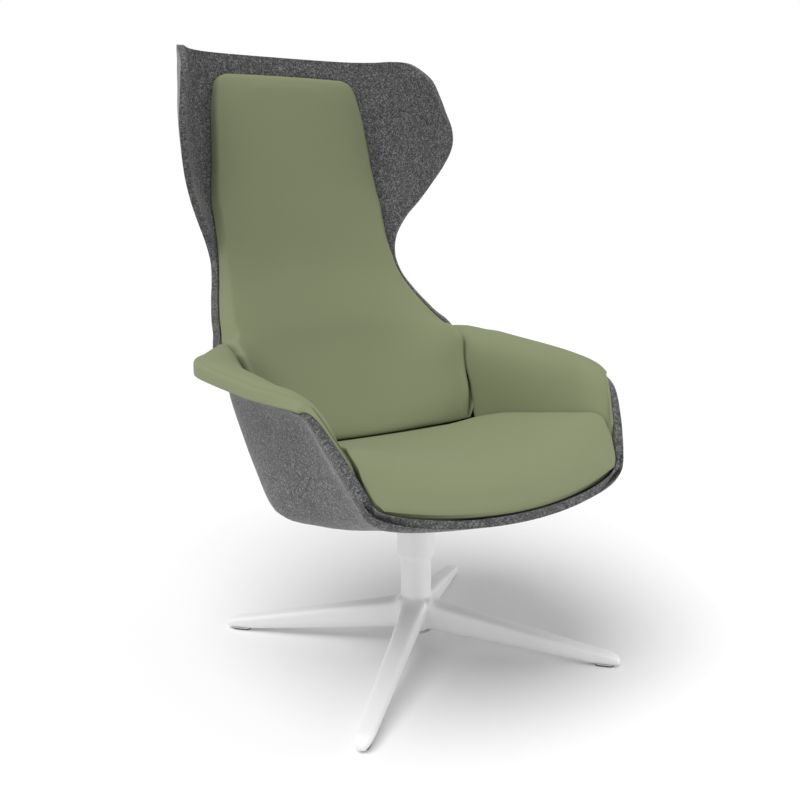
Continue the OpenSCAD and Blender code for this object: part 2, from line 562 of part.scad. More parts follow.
module mount_plate() {
    color(steel_color) difference() {
        translate([0, plate_shift, plate_low]) linear_extrude(plate_t) rounded_square(plate_side);
        at_bolts() translate([0, 0, plate_low - over])
            cylinder(r = bolt_r + hole_gap, h = plate_t + 2 * over);
    }
}

module plate_washers() {
    color(steel_color) at_bolts() translate([0, 0, plate_low - washer_t]) difference() {
        cylinder(r = washer_r, h = washer_t);
        translate([0, 0, -over]) cylinder(r = bolt_r + hole_gap, h = washer_t + 2 * over);
    }
}

module plate_bolts() {
    color(steel_color) at_bolts() difference() {
        union() {
            translate([0, 0, plate_low - washer_t - bolt_head_h])
                cylinder(r = bolt_head_r, h = bolt_head_h);
            translate([0, 0, plate_low - washer_t - bolt_head_h / 2])
                cylinder(r = bolt_r, h = board_top - plate_low + washer_t + bolt_head_h / 2);
        }
        translate([0, 0, plate_low - washer_t - bolt_head_h - over])
            cylinder(r = bolt_r * 0.75, h = bolt_head_h * socket_hex_share + over, $fn = 6);
    }
}

// SWIVEL
bush_flange_t = bore_r * 0.16;
bush_length = bore_r * 1.6;
socket_wall = spindle_r * 0.7;
socket_r = spindle_r + slip + socket_wall;
socket_low = post_top + 5 * bush_flange_t;
collar_t = sleeve_wall;
chamfer = sleeve_wall * 0.8;
ring_low = sleeve_low + bush_flange_t * 2;
ring_h = bush_flange_t * 4;

module plate_socket() {
    color(steel_color) rotate_extrude()
        translate([spindle_r + slip, socket_low]) square([socket_wall, plate_low - socket_low]);
}

module cover_sleeve() {
    color(white_color) rotate_extrude() polygon([
        [sleeve_r - sleeve_wall, sleeve_low], [sleeve_r - chamfer, sleeve_low],
        [sleeve_r, sleeve_low + 3 * chamfer], [sleeve_r, plate_low], [socket_r + slip, plate_low],
        [socket_r + slip, plate_low - collar_t], [sleeve_r - sleeve_wall, plate_low - collar_t]]);
}

module sleeve_bearing_ring() {
    color(black_color) rotate_extrude()
        translate([post_r + slip, ring_low])
            square([sleeve_r - sleeve_wall - run - post_r - slip, ring_h]);
}

plug_t = bore_r * 0.63;
plug_flange_t = hub_bottom / 10;
plug_top = hub_bottom + plug_t;
race_t = spindle_r * 0.22;
ball_r = spindle_r * 0.21;
ball_pitch_r = spindle_r * 0.89;
ball_count = 9;
race_in_r = spindle_r * 0.57;
race_out_r = spindle_r * 1.22;
ball_z = plug_top + race_t + ball_r;
upper_race_low = ball_z + ball_r;
spindle_low = upper_race_low + race_t;
pilot_r = race_in_r - slip;
lower_bush_low = spindle_low + bush_length * 0.7;
clip_t = race_t * 0.6;
clip_drop = clip_t * 0.7;
groove_r = spindle_r * 0.92;
spindle_top = plate_low - slip;

module swivel_spindle() {
    color(steel_color) difference() {
        union() {
            translate([0, 0, spindle_low]) cylinder(r = spindle_r, h = spindle_top - spindle_low);
            translate([0, 0, upper_race_low]) cylinder(r = pilot_r, h = race_t + over);
        }
        translate([0, 0, lower_bush_low - clip_drop - clip_t - slip]) difference() {
            cylinder(r = spindle_r + over, h = clip_t + 2 * slip);
            translate([0, 0, -over]) cylinder(r = groove_r, h = clip_t + 2 * slip + 2 * over);
        }
    }
}

module spindle_clip() {
    color(steel_color) translate([0, 0, lower_bush_low - clip_drop - clip_t]) difference() {
        cylinder(r = spindle_r * 1.26, h = clip_t);
        translate([0, 0, -over]) cylinder(r = groove_r + slip, h = clip_t + 2 * over);
    }
}

module race(low) {
    translate([0, 0, low]) difference() {
        cylinder(r = race_out_r, h = race_t);
        translate([0, 0, -over]) cylinder(r = race_in_r, h = race_t + 2 * over);
    }
}

module upper_race() {
    color(steel_color) race(upper_race_low);
}

module lower_race() {
    color(steel_color) race(plug_top);
}

module at_balls() {
    for (k = [0 : ball_count - 1]) {
        rotate([0, 0, 360 * k / ball_count]) translate([ball_pitch_r, 0, ball_z]) children();
    }
}

module bearing_balls() {
    color(steel_color) at_balls() sphere(r = ball_r);
}

module ball_cage() {
    color(black_color) difference() {
        translate([0, 0, ball_z - ball_r / 2]) difference() {
            cylinder(r = ball_pitch_r + ball_r * 1.4, h = ball_r);
            translate([0, 0, -over]) cylinder(r = ball_pitch_r - ball_r * 1.4, h = ball_r + 2 * over);
        }
        at_balls() translate([0, 0, -ball_r]) cylinder(r = ball_r + slip, h = 2 * ball_r);
    }
}

module upper_bush() {
    color(black_color) rotate_extrude() polygon([
        [spindle_r + run, post_top - bush_length], [bore_r - slip, post_top - bush_length],
        [bore_r - slip, post_top], [post_r * 0.92, post_top],
        [post_r * 0.92, post_top + bush_flange_t], [spindle_r + run, post_top + bush_flange_t]]);
}

module lower_bush() {
    color(black_color) rotate_extrude()
        translate([spindle_r + run, lower_bush_low])
            square([bore_r - slip - spindle_r - run, bush_length]);
}

// STAR BASE
leg_angles = [45, 135, 225, 315];
leg_reach = glide_reach + leg_past_glide;
// Rings of a leg: place as a share of leg_reach, height of the ridge as a share of the way from
// its tip's to its root's, half width as a share of the way from the tip's to the root's
leg_shares = [
    [0.030, 1.16, 1.30], [0.076, 1.12, 1.20], [0.088, 1.04, 0.98], [0.106, 0.985, 0.80],
    [0.135, 0.935, 0.70], [0.190, 0.865, 0.60], [0.260, 0.785, 0.50], [0.350, 0.680, 0.41],
    [0.460, 0.552, 0.32], [0.580, 0.412, 0.23], [0.700, 0.272, 0.14], [0.800, 0.155, 0.07],
    [0.880, 0.062, 0.02], [0.930, 0.010, -0.02], [0.958, -0.028, -0.14], [0.978, -0.075, -0.34],
    [0.992, -0.125, -0.62], [1.000, -0.175, -0.90]];
leg_ring_count = 20;
leg_square_share = 0.62;
// How much narrower a leg is at its underside than at its top
leg_draft_share = 0.5;
function power(a, e) = sign(a) * pow(abs(a), e);
function ridge(s) = mix(leg_tip_top, leg_root_top, s);
function belly(s) = mix(hub_bottom, leg_tip_bottom, min(s / glide_from_share, 1));
glide_from_share = 0.86;
function leg_ring(r) =
    let (top = ridge(r[1]), low = belly(r[0]), w = mix(leg_tip_half, leg_root_half, r[2]))
    [for (k = [0 : leg_ring_count - 1]) let (a = 360 * (k + 1 / 2) / leg_ring_count)
        [r[0] * leg_reach, w * (1 - leg_draft_share * (1 - sin(a)) / 2)
            * power(cos(a), leg_square_share),
            (top + low) / 2 + (top - low) / 2 * power(sin(a), leg_square_share)]];
stem_r = glide_wide * 0.53;
stem_top = leg_tip_bottom + glide_wide * 1.5;
boss_h = glide_wide;
plug_flange_r = post_r * 1.06;
screw_r = bore_r * 0.13;
screw_head_r = screw_r * 1.6;
screw_head_h = screw_r * 1.2;
screw_at = (bore_r + post_r) / 2 + screw_r / 4;
screw_depth = bore_r * 0.55;

module at_legs() {
    for (a = leg_angles) {
        rotate([0, 0, a]) children();
    }
}

module at_glides(low) {
    at_legs() translate([glide_reach, 0, low]) children();
}

module glide_outline(grow) {
    square([2 * (glide_half - glide_wide), 2 * (glide_wide + grow)], center = true);
    for (x = [-1, 1]) {
        translate([x * (glide_half - glide_wide), 0]) circle(glide_wide + grow);
    }
}

module at_screws() {
    for (a = [0, 120, 240]) {
        rotate([0, 0, a]) translate([screw_at, 0, 0]) children();
    }
}

module leg() {
    loft([for (r = leg_shares) leg_ring(r)]);
}

module star_base() {
    color(white_color) difference() {
        union() {
            translate([0, 0, hub_bottom]) cylinder(r = post_r, h = post_top - hub_bottom);
            translate([0, 0, hub_bottom]) cylinder(r = post_r * 1.12, h = plug_t);
            at_legs() leg();
            at_glides(leg_tip_bottom) linear_extrude(boss_h) glide_outline(0);
        }
        translate([0, 0, hub_bottom - over]) cylinder(r = bore_r, h = post_top - hub_bottom + 2 * over);
        translate([0, 0, hub_bottom - plug_flange_t - over])
            cylinder(r = plug_flange_r + 2 * slip, h = plug_flange_t + over);
        at_screws() translate([0, 0, hub_bottom - over])
            cylinder(r = screw_r + slip, h = screw_depth + over);
        at_glides(leg_tip_bottom - over)
            cylinder(r = stem_r + slip, h = stem_top - leg_tip_bottom + over);
    }
}

module bearing_plug() {
    color(steel_color) difference() {
        union() {
            translate([0, 0, hub_bottom - plug_flange_t]) cylinder(r = plug_flange_r, h = plug_flange_t);
            translate([0, 0, hub_bottom - plug_flange_t / 2])
                cylinder(r = bore_r - slip, h = plug_t + plug_flange_t / 2);
        }
        at_screws() translate([0, 0, hub_bottom - plug_flange_t - over])
            cylinder(r = screw_r + slip, h = plug_flange_t + 2 * over);
    }
}

module plug_screws() {
    color(steel_color) at_screws() {
        translate([0, 0, hub_bottom - plug_flange_t - screw_head_h])
            cylinder(r = screw_head_r, h = screw_head_h);
        translate([0, 0, hub_bottom - plug_flange_t - screw_head_h / 2])
            cylinder(r = screw_r, h = plug_flange_t + screw_depth + screw_head_h / 2);
    }
}

module glide_bodies() {
    color(white_color) {
        at_glides(sole_t) linear_extrude(leg_tip_bottom - sole_t) glide_outline(0);
        at_glides(sole_t) cylinder(r = stem_r, h = stem_top - sole_t);
    }
}

module glide_soles() {
    color(black_color) at_glides(0) linear_extrude(sole_t) glide_outline(-slip);
}

$fn = 64;

felt_shell();
back_cushion();
seat_cushion();
arm_pad_left();
arm_pad_right();
seat_board();
tee_nuts();
mount_plate();
plate_bolts();
plate_washers();
plate_socket();
cover_sleeve();
sleeve_bearing_ring();
swivel_spindle();
spindle_clip();
upper_race();
ball_cage();
bearing_balls();
lower_race();
upper_bush();
lower_bush();
star_base();
bearing_plug();
plug_screws();
glide_bodies();
glide_soles();
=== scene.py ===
"""High back lounge chair: felt shell, upholstery and white base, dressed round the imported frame.

Metres, +Z up, the seat faces -Y, +X is the sitter's left. The soft parts and the felt shell come
from the same stations as the CAD source, drawn finer.
"""

import math

import bpy
import numpy as np
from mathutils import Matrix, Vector


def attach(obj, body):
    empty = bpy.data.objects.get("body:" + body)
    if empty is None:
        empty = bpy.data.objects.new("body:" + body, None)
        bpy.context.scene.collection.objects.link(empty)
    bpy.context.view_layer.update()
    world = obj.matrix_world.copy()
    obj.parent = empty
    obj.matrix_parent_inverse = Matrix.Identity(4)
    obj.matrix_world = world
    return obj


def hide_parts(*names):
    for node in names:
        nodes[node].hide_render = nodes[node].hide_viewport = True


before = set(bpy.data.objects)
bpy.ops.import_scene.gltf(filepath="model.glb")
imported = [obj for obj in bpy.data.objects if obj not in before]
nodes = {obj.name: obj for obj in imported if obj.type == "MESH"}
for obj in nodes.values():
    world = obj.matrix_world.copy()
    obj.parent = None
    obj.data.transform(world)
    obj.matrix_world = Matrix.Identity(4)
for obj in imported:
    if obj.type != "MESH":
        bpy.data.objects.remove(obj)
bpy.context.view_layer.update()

# ---------------------------------------------------------------- sizes, in millimetres
SHELL_TOP, PAN_Z, BACK_REACH, FRONT_REACH = 1129.0, 282.0, 548.0, 321.0
WING_HALF, WAIST_HALF, WAIST_Z = 290.0, 209.0, 715.0
ARM_HALF, ARM_Z, FRONT_HALF, LIP_Z = 341.0, 535.0, 243.0, 385.0
PAN_HALF, FLAT_RISE, FELT_T, FRONT_BOW = 256.0, 5.5, 13.0, 40.0
BACK_PAD_T, LUMBAR_T, SEAT_TOP, SEAT_DISH = 40.0, 74.0, 430.0, 28.0
ARM_PAD_T, LIP_T, CUSHION_R = 19.0, 8.0, 20.0
THICKEN_FROM, THICKEN_TO, SIDE_THIN = 12.3, 20.9, 0.28
POST_R, POST_TOP, BORE_R = 28.5, 219.0, 19.0
LEG_REACH, LEG_ROOT_TOP, HUB_BOTTOM, LEG_TIP_TOP = 382.0, 98.0, 43.0, 26.0
LEG_ROOT_HALF, LEG_TIP_HALF, LEG_TIP_BOTTOM = 29.5, 19.0, 4.0
LEG_LOW_END, LEG_KEEL, LEG_SQUARE = 0.86, 0.5, 0.62
WALL_SWITCH, BOW_START, GAP = 16, 23, 1.0
SEAT_ROOM, SEAT_ROLL, SEAT_REAR_LIFT = 3.0, 0.55, 1.5
BACK_FOOT, BACK_REAR_LIFT, SEAT_CLEAR = 0.3, 1.2, 2.5
PAD_UNDER_LIFT, PAD_RIM_LIFT, PAD_LEAST = 0.6, 0.4, 1.2
LIP_ROUND, RIM_ROUND = 3.0, 7.0
FLOOR_BLEND, FELT_BEVEL = 4, 1.4
POST_FLARE, FLARE_STRAIGHT, FLARE_END = 1.12, 12, 20
BORE_SPARE, BASE_VOXEL, QUICK_GROW = 20, 3.0, 0.8

# how finely the forms are drawn: rows and columns, and points round a ring
FELT_STEPS, FELT_COLUMNS, ROW_STEPS, COLUMN_STEPS, LEG_STEPS = 5, 97, 3, 2, 4
PAD_UNDER, PAD_OVER, PAD_ARC = 26, 27, 4
LEG_RING, POST_RING, BORE_RING = 40, 96, 72
WALL_ROWS, WALL_COLUMNS = 380, 260

# back cushion: its lean over the arm pads at stations, its side, its smoothing, its bottom edge
LEAN_AT = (16.5, 17.2, 18.0, 19.0, 20.0, 21.5)
BACK_LEAN = (0, 0.008, 0.034, 0.064, 0.068, 0.056)
BACK_KNOTS = (-0.96, -0.6, -0.32, 0, 0.32, 0.6, 0.96)
SIDE_FILL, SIDE_FROM, REAR_TUCK = 0.4, 0.95, 0.036
ROUNDS_ACROSS, ROUNDS_ALONG, SIDE_COLUMNS = 70, 8, 4
SINK_FROM, SINK_RUN, OVER_SEAT = 18.6, 2, 0.43

# arm pads, in stations and shares of the half section
PAD_END, PAD_EDGE, WALLS_FROM, WALLS_IN = 27.25, 0.012, 19.4, 0.15
PAD_TUCK, PAD_ROUND, LIP_INSET, RIM_IN = 0.017, 0.020, 0.3, 0.96
CREST, CREST_SHIFT, CREST_REACH, CREST_WIDEN = 0.92, 0.04, 0.14, 0.24
CREST_FROM, CREST_RUN = 23.6, 1.6

# ---------------------------------------------------------------- tables of shares
# The shell's middle line: share of the reach back or, where negative, forward, and share of the
# height over the pan
MIDDLE_SHARES = [
    [1.0, 1.0], [0.995, 0.983], [0.984, 0.95], [0.969, 0.903], [0.956, 0.862], [0.943, 0.821],
    [0.931, 0.779], [0.918, 0.738], [0.905, 0.695], [0.891, 0.651], [0.874, 0.606],
    [0.858, 0.558], [0.839, 0.511], [0.818, 0.466], [0.79, 0.424], [0.754, 0.378],
    [0.714, 0.331], [0.668, 0.28], [0.609, 0.23], [0.535, 0.174], [0.443, 0.11], [0.325, 0.046],
    [0.17, -0.001], [-0.03, -0.003], [-0.235, 0.009], [-0.44, 0.033], [-0.6, 0.054],
    [-0.738, 0.07], [-0.822, 0.08], [-0.876, 0.086],
]
# Its edge beside the head: shares of the half width from waist to wing, of the reach back, and of
# the height from waist to top
HEAD_EDGE_SHARES = [
    [0.3, 0.874, 1.0], [0.52, 0.791, 0.981], [0.68, 0.691, 0.901], [0.81, 0.651, 0.807],
    [0.905, 0.625, 0.722], [1.0, 0.6, 0.633], [0.988, 0.6, 0.548], [0.889, 0.633, 0.464],
    [0.728, 0.679, 0.377], [0.519, 0.723, 0.285], [0.284, 0.765, 0.193], [0.086, 0.781, 0.097],
    [0.0, 0.768, 0.0],
]
# The same from the waist down to the arm
SIDE_EDGE_SHARES = [
    [0.038, 0.737, 0.789], [0.136, 0.684, 0.589], [0.25, 0.612, 0.394], [0.341, 0.543, 0.25],
    [0.492, 0.478, 0.13], [0.735, 0.416, 0.062], [0.939, 0.374, 0.04], [1.0, 0.309, 0.028],
    [0.989, 0.185, 0.019], [0.955, 0.045, 0.011],
]
# The same from the arm to the front lip
FRONT_EDGE_SHARES = [
    [0.884, -0.14, 1.005], [0.73, -0.345, 0.995], [0.58, -0.498, 0.955], [0.49, -0.596, 0.825],
    [0.262, -0.714, 0.5], [0.07, -0.802, 0.19], [0.0, -0.862, 0.0],
]
# Where the side wall starts: share of the edge's half width down to the waist, of the pan's below
WALL_SHARES = [
    0.896, 0.916, 0.933, 0.921, 0.914, 0.901, 0.901, 0.908, 0.915, 0.906, 0.886, 0.868, 0.863,
    0.872, 0.892, 0.902, 0.918, 0.938, 0.949, 0.96, 0.966, 0.973, 0.98, 0.984, 0.978, 0.973,
    0.97, 0.967, 0.948, 0.84,
]
# Section of each station: two places short of the wall, one beyond it, and how far three of the
# section's points have risen towards the edge
SECTION_SHARES = [
    [0.47, 0.81, 0.6, 0.1, 0.45, 0.75], [0.46, 0.85, 0.64, 0.09, 0.48, 0.77],
    [0.47, 0.88, 0.54, 0.08, 0.52, 0.79], [0.46, 0.88, 0.53, 0.08, 0.53, 0.79],
    [0.46, 0.89, 0.48, 0.08, 0.53, 0.79], [0.45, 0.89, 0.48, 0.08, 0.53, 0.79],
    [0.45, 0.89, 0.52, 0.08, 0.53, 0.79], [0.46, 0.88, 0.54, 0.08, 0.52, 0.78],
    [0.44, 0.87, 0.52, 0.07, 0.5, 0.77], [0.43, 0.85, 0.54, 0.06, 0.48, 0.76],
    [0.43, 0.82, 0.55, 0.05, 0.45, 0.75], [0.42, 0.79, 0.55, 0.05, 0.44, 0.74],
    [0.44, 0.79, 0.55, 0.05, 0.44, 0.73], [0.42, 0.8, 0.57, 0.05, 0.44, 0.73],
    [0.44, 0.82, 0.56, 0.05, 0.44, 0.73], [0.45, 0.83, 0.58, 0.05, 0.46, 0.75],
    [0.47, 0.85, 0.64, 0.05, 0.5, 0.8], [0.5, 0.88, 0.5, 0.04, 0.53, 0.93],
    [0.53, 0.9, 0.28, 0.03, 0.55, 1.01], [0.595, 0.93, 0.25, 0.03, 0.56, 1.02],
    [0.63, 0.935, 0.27, 0.018, 0.55, 1.01], [0.66, 0.95, 0.28, 0.005, 0.525, 1.0],
    [0.73, 0.975, 0.3, -0.015, 0.55, 0.99], [0.63, 0.97, 0.36, 0.07, 0.56, 0.97],
    [0.62, 0.94, 0.45, 0.1, 0.56, 0.95], [0.6, 0.95, 0.58, 0.11, 0.54, 0.89],
    [0.56, 0.95, 0.7, 0.1, 0.51, 0.82], [0.52, 0.94, 0.76, 0.12, 0.48, 0.77],
    [0.49, 0.92, 0.72, 0.2, 0.5, 0.74], [0.42, 0.77, 0.69, 0.42, 0.74, 0.9],
]
# How much of the front's bow the last stations have
BOW_SHARES = [
    0.05, 0.15, 0.35, 0.6, 0.85, 0.975, 1.0,
]
# Half width of the back cushion: station, share of the half section
BACK_COVER_SHARES = [
    [1.96, 0.19], [2.03, 0.206], [2.16, 0.22], [2.4, 0.235], [2.7, 0.245], [3.2, 0.25],
    [4, 0.254], [5.6, 0.263], [6.4, 0.271], [7.2, 0.284], [8, 0.313], [8.7, 0.352], [9.4, 0.42],
    [10.1, 0.5], [10.8, 0.61], [11.5, 0.72], [12.2, 0.82], [13, 0.845], [16, 0.85],
    [16.5, 0.81], [17, 0.725], [17.5, 0.675], [18.2, 0.63], [19, 0.59], [19.6, 0.562],
    [20.2, 0.53], [20.6, 0.505], [20.85, 0.475], [21.02, 0.432],
]
# Rows of the back cushion: station in front, station behind, share of its thickness, how far its
# ends sink at the sides
BACK_ROW_SHARES = [
    [1.96, 1.98, 0.42, 0], [2.01, 2.07, 0.66, 0], [2.15, 2.2, 0.85, 0], [2.45, 2.45, 0.97, 0],
    [3.2, 3.2, 1, 0], [4, 4, 1, 0], [5.6, 5.6, 1, 0], [7.2, 7.2, 1, 0], [8, 8, 1, 0],
    [8.8, 8.8, 1, 0], [9.6, 9.6, 1, 0], [10.4, 10.4, 1, 0], [11.2, 11.2, 1, 0], [12, 12, 1, 0],
    [12.8, 12.8, 1, 0], [13.6, 13.6, 1, 0], [14.4, 14.4, 1, 0], [15.2, 15.2, 1, 0],
    [16, 15.8, 1, 0], [16.8, 16.3, 1, 0], [17.7, 16.8, 1, 0], [18.6, 17.3, 1, 0],
    [19.5, 17.8, 1, 0.02], [20.15, 18.3, 1, 0.07], [20.62, 18.8, 0.99, 0.12],
    [20.86, 19.3, 0.9, 0.16], [20.85, 19.6, 0.74, 0.17], [20.6, 19.8, 0.44, 0.15],
    [20.3, 20, 0.16, 0.1],
]
# Columns of the cushions: share of the half width, of the thickness, of the rolled edge
CUSHION_COLUMN_SHARES = [
    [0, 1, 0], [0.16, 1, 0], [0.32, 1, 0], [0.47, 1, 0], [0.6, 1, 0], [0.72, 0.99, 0],
    [0.83, 0.97, 0.01], [0.91, 0.92, 0.06], [0.96, 0.82, 0.22], [0.987, 0.66, 0.52],
    [1, 0.44, 1],
]
# Rows of the seat's top: share of the reach, of the height over the pan, of the dish, of the
# pan's half width, of the front's bow, of the cushion's radius
SEAT_TOP_SHARES = [
    [0.424, 0.597, 0.0, 0.78, -0.8, 0.5], [0.395, 0.608, 0.04, 0.805, -0.65, 0.5],
    [0.35, 0.626, 0.1, 0.83, -0.4, 0.5], [0.3, 0.645, 0.22, 0.85, -0.15, 0.5],
    [0.255, 0.664, 0.42, 0.86, 0, 0.5], [0.215, 0.692, 0.7, 0.864, 0, 0.5],
    [0.15, 0.735, 0.88, 0.866, 0, 0.5], [0.08, 0.793, 0.95, 0.866, 0, 0.5],
    [0.0, 0.845, 0.98, 0.866, 0, 0.5], [-0.14, 0.893, 1.02, 0.866, 0.0, 0.5],
    [-0.28, 0.936, 1.1, 0.866, 0.02, 0.5], [-0.42, 0.97, 1.2, 0.866, 0.1, 0.5],
    [-0.56, 0.994, 1.3, 0.872, 0.25, 0.55], [-0.665, 1.0, 1.45, 0.893, 0.42, 0.55],
    [-0.745, 0.985, 1.42, 0.918, 0.62, 0.55], [-0.815, 0.95, 1.22, 0.938, 0.8, 0.55],
    [-0.87, 0.885, 0.97, 0.943, 0.89, 0.5], [-0.92, 0.795, 0.75, 0.942, 0.94, 0.5],
    [-0.955, 0.69, 0.74, 0.94, 0.97, 0.35], [-0.98, 0.6, 0.79, 0.937, 0.985, 0.2],
    [-0.989, 0.54, 0.86, 0.934, 0.985, 0.08],
]
# Stations of the rows of the seat's underside
SEAT_UNDER_ROW_SHARES = [
    20.2, 20.6, 21, 21.4, 21.86, 22.3, 22.8, 23.3, 24, 24.4, 24.8, 25.6, 26, 26.4, 26.8, 27.2,
    27.6, 28, 28.3, 28.6, 28.82,
]
# Half width of the seat's underside: station, share of the half section
SEAT_UNDER_SHARES = [
    [20, 0.3], [21, 0.333], [26, 0.333], [27, 0.36], [28, 0.48], [28.5, 0.68], [28.9, 0.84],
]
# Rows of an arm pad: station, half section at its inner end, share of its thickness, how far its
# lip reaches down the felt's edge or, where negative, stands back from it, thickness at the rim
PAD_ROW_SHARES = [
    [16.55, 0.822, 0.42, 0.1, 0.42], [16.8, 0.775, 0.8, 0.75, 0.8], [17.3, 0.712, 1, 1, 1],
    [17.8, 0.672, 1, 1, 0.98], [18.3, 0.64, 1, 1, 0.93], [18.8, 0.615, 1, 1, 0.86],
    [19.3, 0.591, 1, 1, 0.8], [19.8, 0.566, 1, 1, 0.75], [20.2, 0.544, 1, 1, 0.72],
    [20.6, 0.519, 1, 1, 0.69], [21, 0.465, 1, 1, 0.65], [21.4, 0.43, 1, 1, 0.62],
    [21.86, 0.41, 1, 1, 0.59], [22.3, 0.405, 1, 1, 0.55], [22.8, 0.405, 1, 1, 0.51],
    [23.3, 0.405, 1, 1, 0.48], [23.68, 0.405, 1, 1, 0.46], [24, 0.405, 1, 1, 0.45],
    [24.4, 0.405, 1, 1, 0.44], [24.8, 0.405, 0.97, 1, 0.44], [25, 0.405, 0.93, 1, 0.43],
    [25.2, 0.405, 0.88, 0.45, 0.43], [25.6, 0.405, 0.79, 0.15, 0.43], [26, 0.415, 0.7, 0, 0.42],
    [26.4, 0.44, 0.63, -0.6, 0.42], [26.8, 0.51, 0.55, -1, 0.42], [27.05, 0.58, 0.5, -1, 0.41],
    [27.2, 0.62, 0.45, -1, 0.38],
]
# Sections of a leg: share of the reach, of the root's height, of the root's width over the tip's
LEG_SHARES = [
    [0.03, 1.16, 1.3], [0.076, 1.12, 1.2], [0.088, 1.04, 0.98], [0.106, 0.985, 0.8],
    [0.135, 0.935, 0.7], [0.19, 0.865, 0.6], [0.26, 0.785, 0.5], [0.35, 0.68, 0.41],
    [0.46, 0.552, 0.32], [0.58, 0.412, 0.23], [0.7, 0.272, 0.14], [0.8, 0.155, 0.07],
    [0.88, 0.062, 0.02], [0.93, 0.01, -0.02], [0.958, -0.028, -0.14], [0.978, -0.075, -0.34],
    [0.992, -0.125, -0.62], [1.0, -0.175, -0.9],
]


def array(rows):
    """An array of floats."""
    return np.array(rows, float)


def fade(at, start, run):
    """0 before start and 1 from start + run on, evenly between. The run may be negative."""
    return np.clip((at - start) / run, 0, 1)


def ease(t):
    """The way from 0 to 1 with a soft start and end."""
    return t * t * (3 - 2 * t)


def smooth(x, y, at):
    """Values at `at` of a smooth run through (x, y) that never overshoots."""
    x, y, at = array(x), array(y), np.atleast_1d(array(at))
    h, d = np.diff(x), np.diff(y) / np.diff(x)
    m = np.zeros(len(x))
    m[0], m[-1] = d[0], d[-1]
    for k in range(1, len(x) - 1):
        if d[k - 1] * d[k] > 0:
            a, b = 2 * h[k] + h[k - 1], h[k] + 2 * h[k - 1]
            m[k] = (a + b) / (a / d[k - 1] + b / d[k])
    i = np.clip(np.searchsorted(x, at, side="right") - 1, 0, len(x) - 2)
    t = np.clip((at - x[i]) / h[i], 0, 1)
    return (y[i] * (1 + 2 * t) * (1 - t) ** 2 + m[i] * h[i] * t * (1 - t) ** 2
            + y[i + 1] * t * t * (3 - 2 * t) + m[i + 1] * h[i] * t * t * (t - 1))


def refine(table, steps):
    """The table's rows with smooth rows between them."""
    table = array(table)
    index = np.arange(len(table))
    at = np.linspace(0, len(table) - 1, (len(table) - 1) * steps + 1)
    return np.stack([smooth(index, table[:, c], at) for c in range(table.shape[1])], 1)


def make_stations():
    """The shell's sections, one row each: middle, edge, places out, rises and bow."""
    middle, rows = array(MIDDLE_SHARES), []
    for i, (place, rise) in enumerate(middle):
        y = place * (FRONT_REACH if place < 0 else BACK_REACH)
        z = PAN_Z + rise * (SHELL_TOP - PAN_Z)
        if i < len(HEAD_EDGE_SHARES):
            a, b, c = HEAD_EDGE_SHARES[i]
            edge = (WAIST_HALF + a * (WING_HALF - WAIST_HALF), b * BACK_REACH,
                    WAIST_Z + c * (SHELL_TOP - WAIST_Z))
        elif i < len(HEAD_EDGE_SHARES) + len(SIDE_EDGE_SHARES):
            a, b, c = SIDE_EDGE_SHARES[i - len(HEAD_EDGE_SHARES)]
            edge = (WAIST_HALF + a * (ARM_HALF - WAIST_HALF), b * BACK_REACH,
                    ARM_Z + c * (WAIST_Z - ARM_Z))
        else:
            a, b, c = FRONT_EDGE_SHARES[i - len(HEAD_EDGE_SHARES) - len(SIDE_EDGE_SHARES)]
            edge = (FRONT_HALF + a * (ARM_HALF - FRONT_HALF), b * FRONT_REACH,
                    LIP_Z + c * (ARM_Z - LIP_Z))
        wall = WALL_SHARES[i] * (edge[0] if i <= WALL_SWITCH else PAN_HALF)
        s = SECTION_SHARES[i]
        bow = 0 if i < BOW_START else FRONT_BOW * BOW_SHARES[i - BOW_START]
        rows.append([y, z, *edge, s[0] * wall, s[1] * wall, wall,
                     wall + s[2] * (edge[0] - wall), s[3], s[4], s[5], bow])
    return array(rows)


STATIONS = make_stations()
LAST = len(STATIONS) - 1


def row(v):
    """Stations at v, an array, on a smooth run through the table."""
    v = np.clip(v, 0, LAST)
    i = np.minimum(np.floor(v).astype(int), LAST - 1)
    f = (v - i)[..., None]
    p, q = STATIONS[i], STATIONS[i + 1]
    o = np.where((i > 0)[..., None], STATIONS[i - 1], 2 * p - q)
    r = np.where((i < LAST - 1)[..., None], STATIONS[np.minimum(i + 2, LAST)], 2 * q - p)
    return (p + (q - o) * f / 2 + (2 * o - 5 * p + 4 * q - r) * f * f / 2
            + (3 * p - 3 * q + r - o) * f ** 3 / 2)


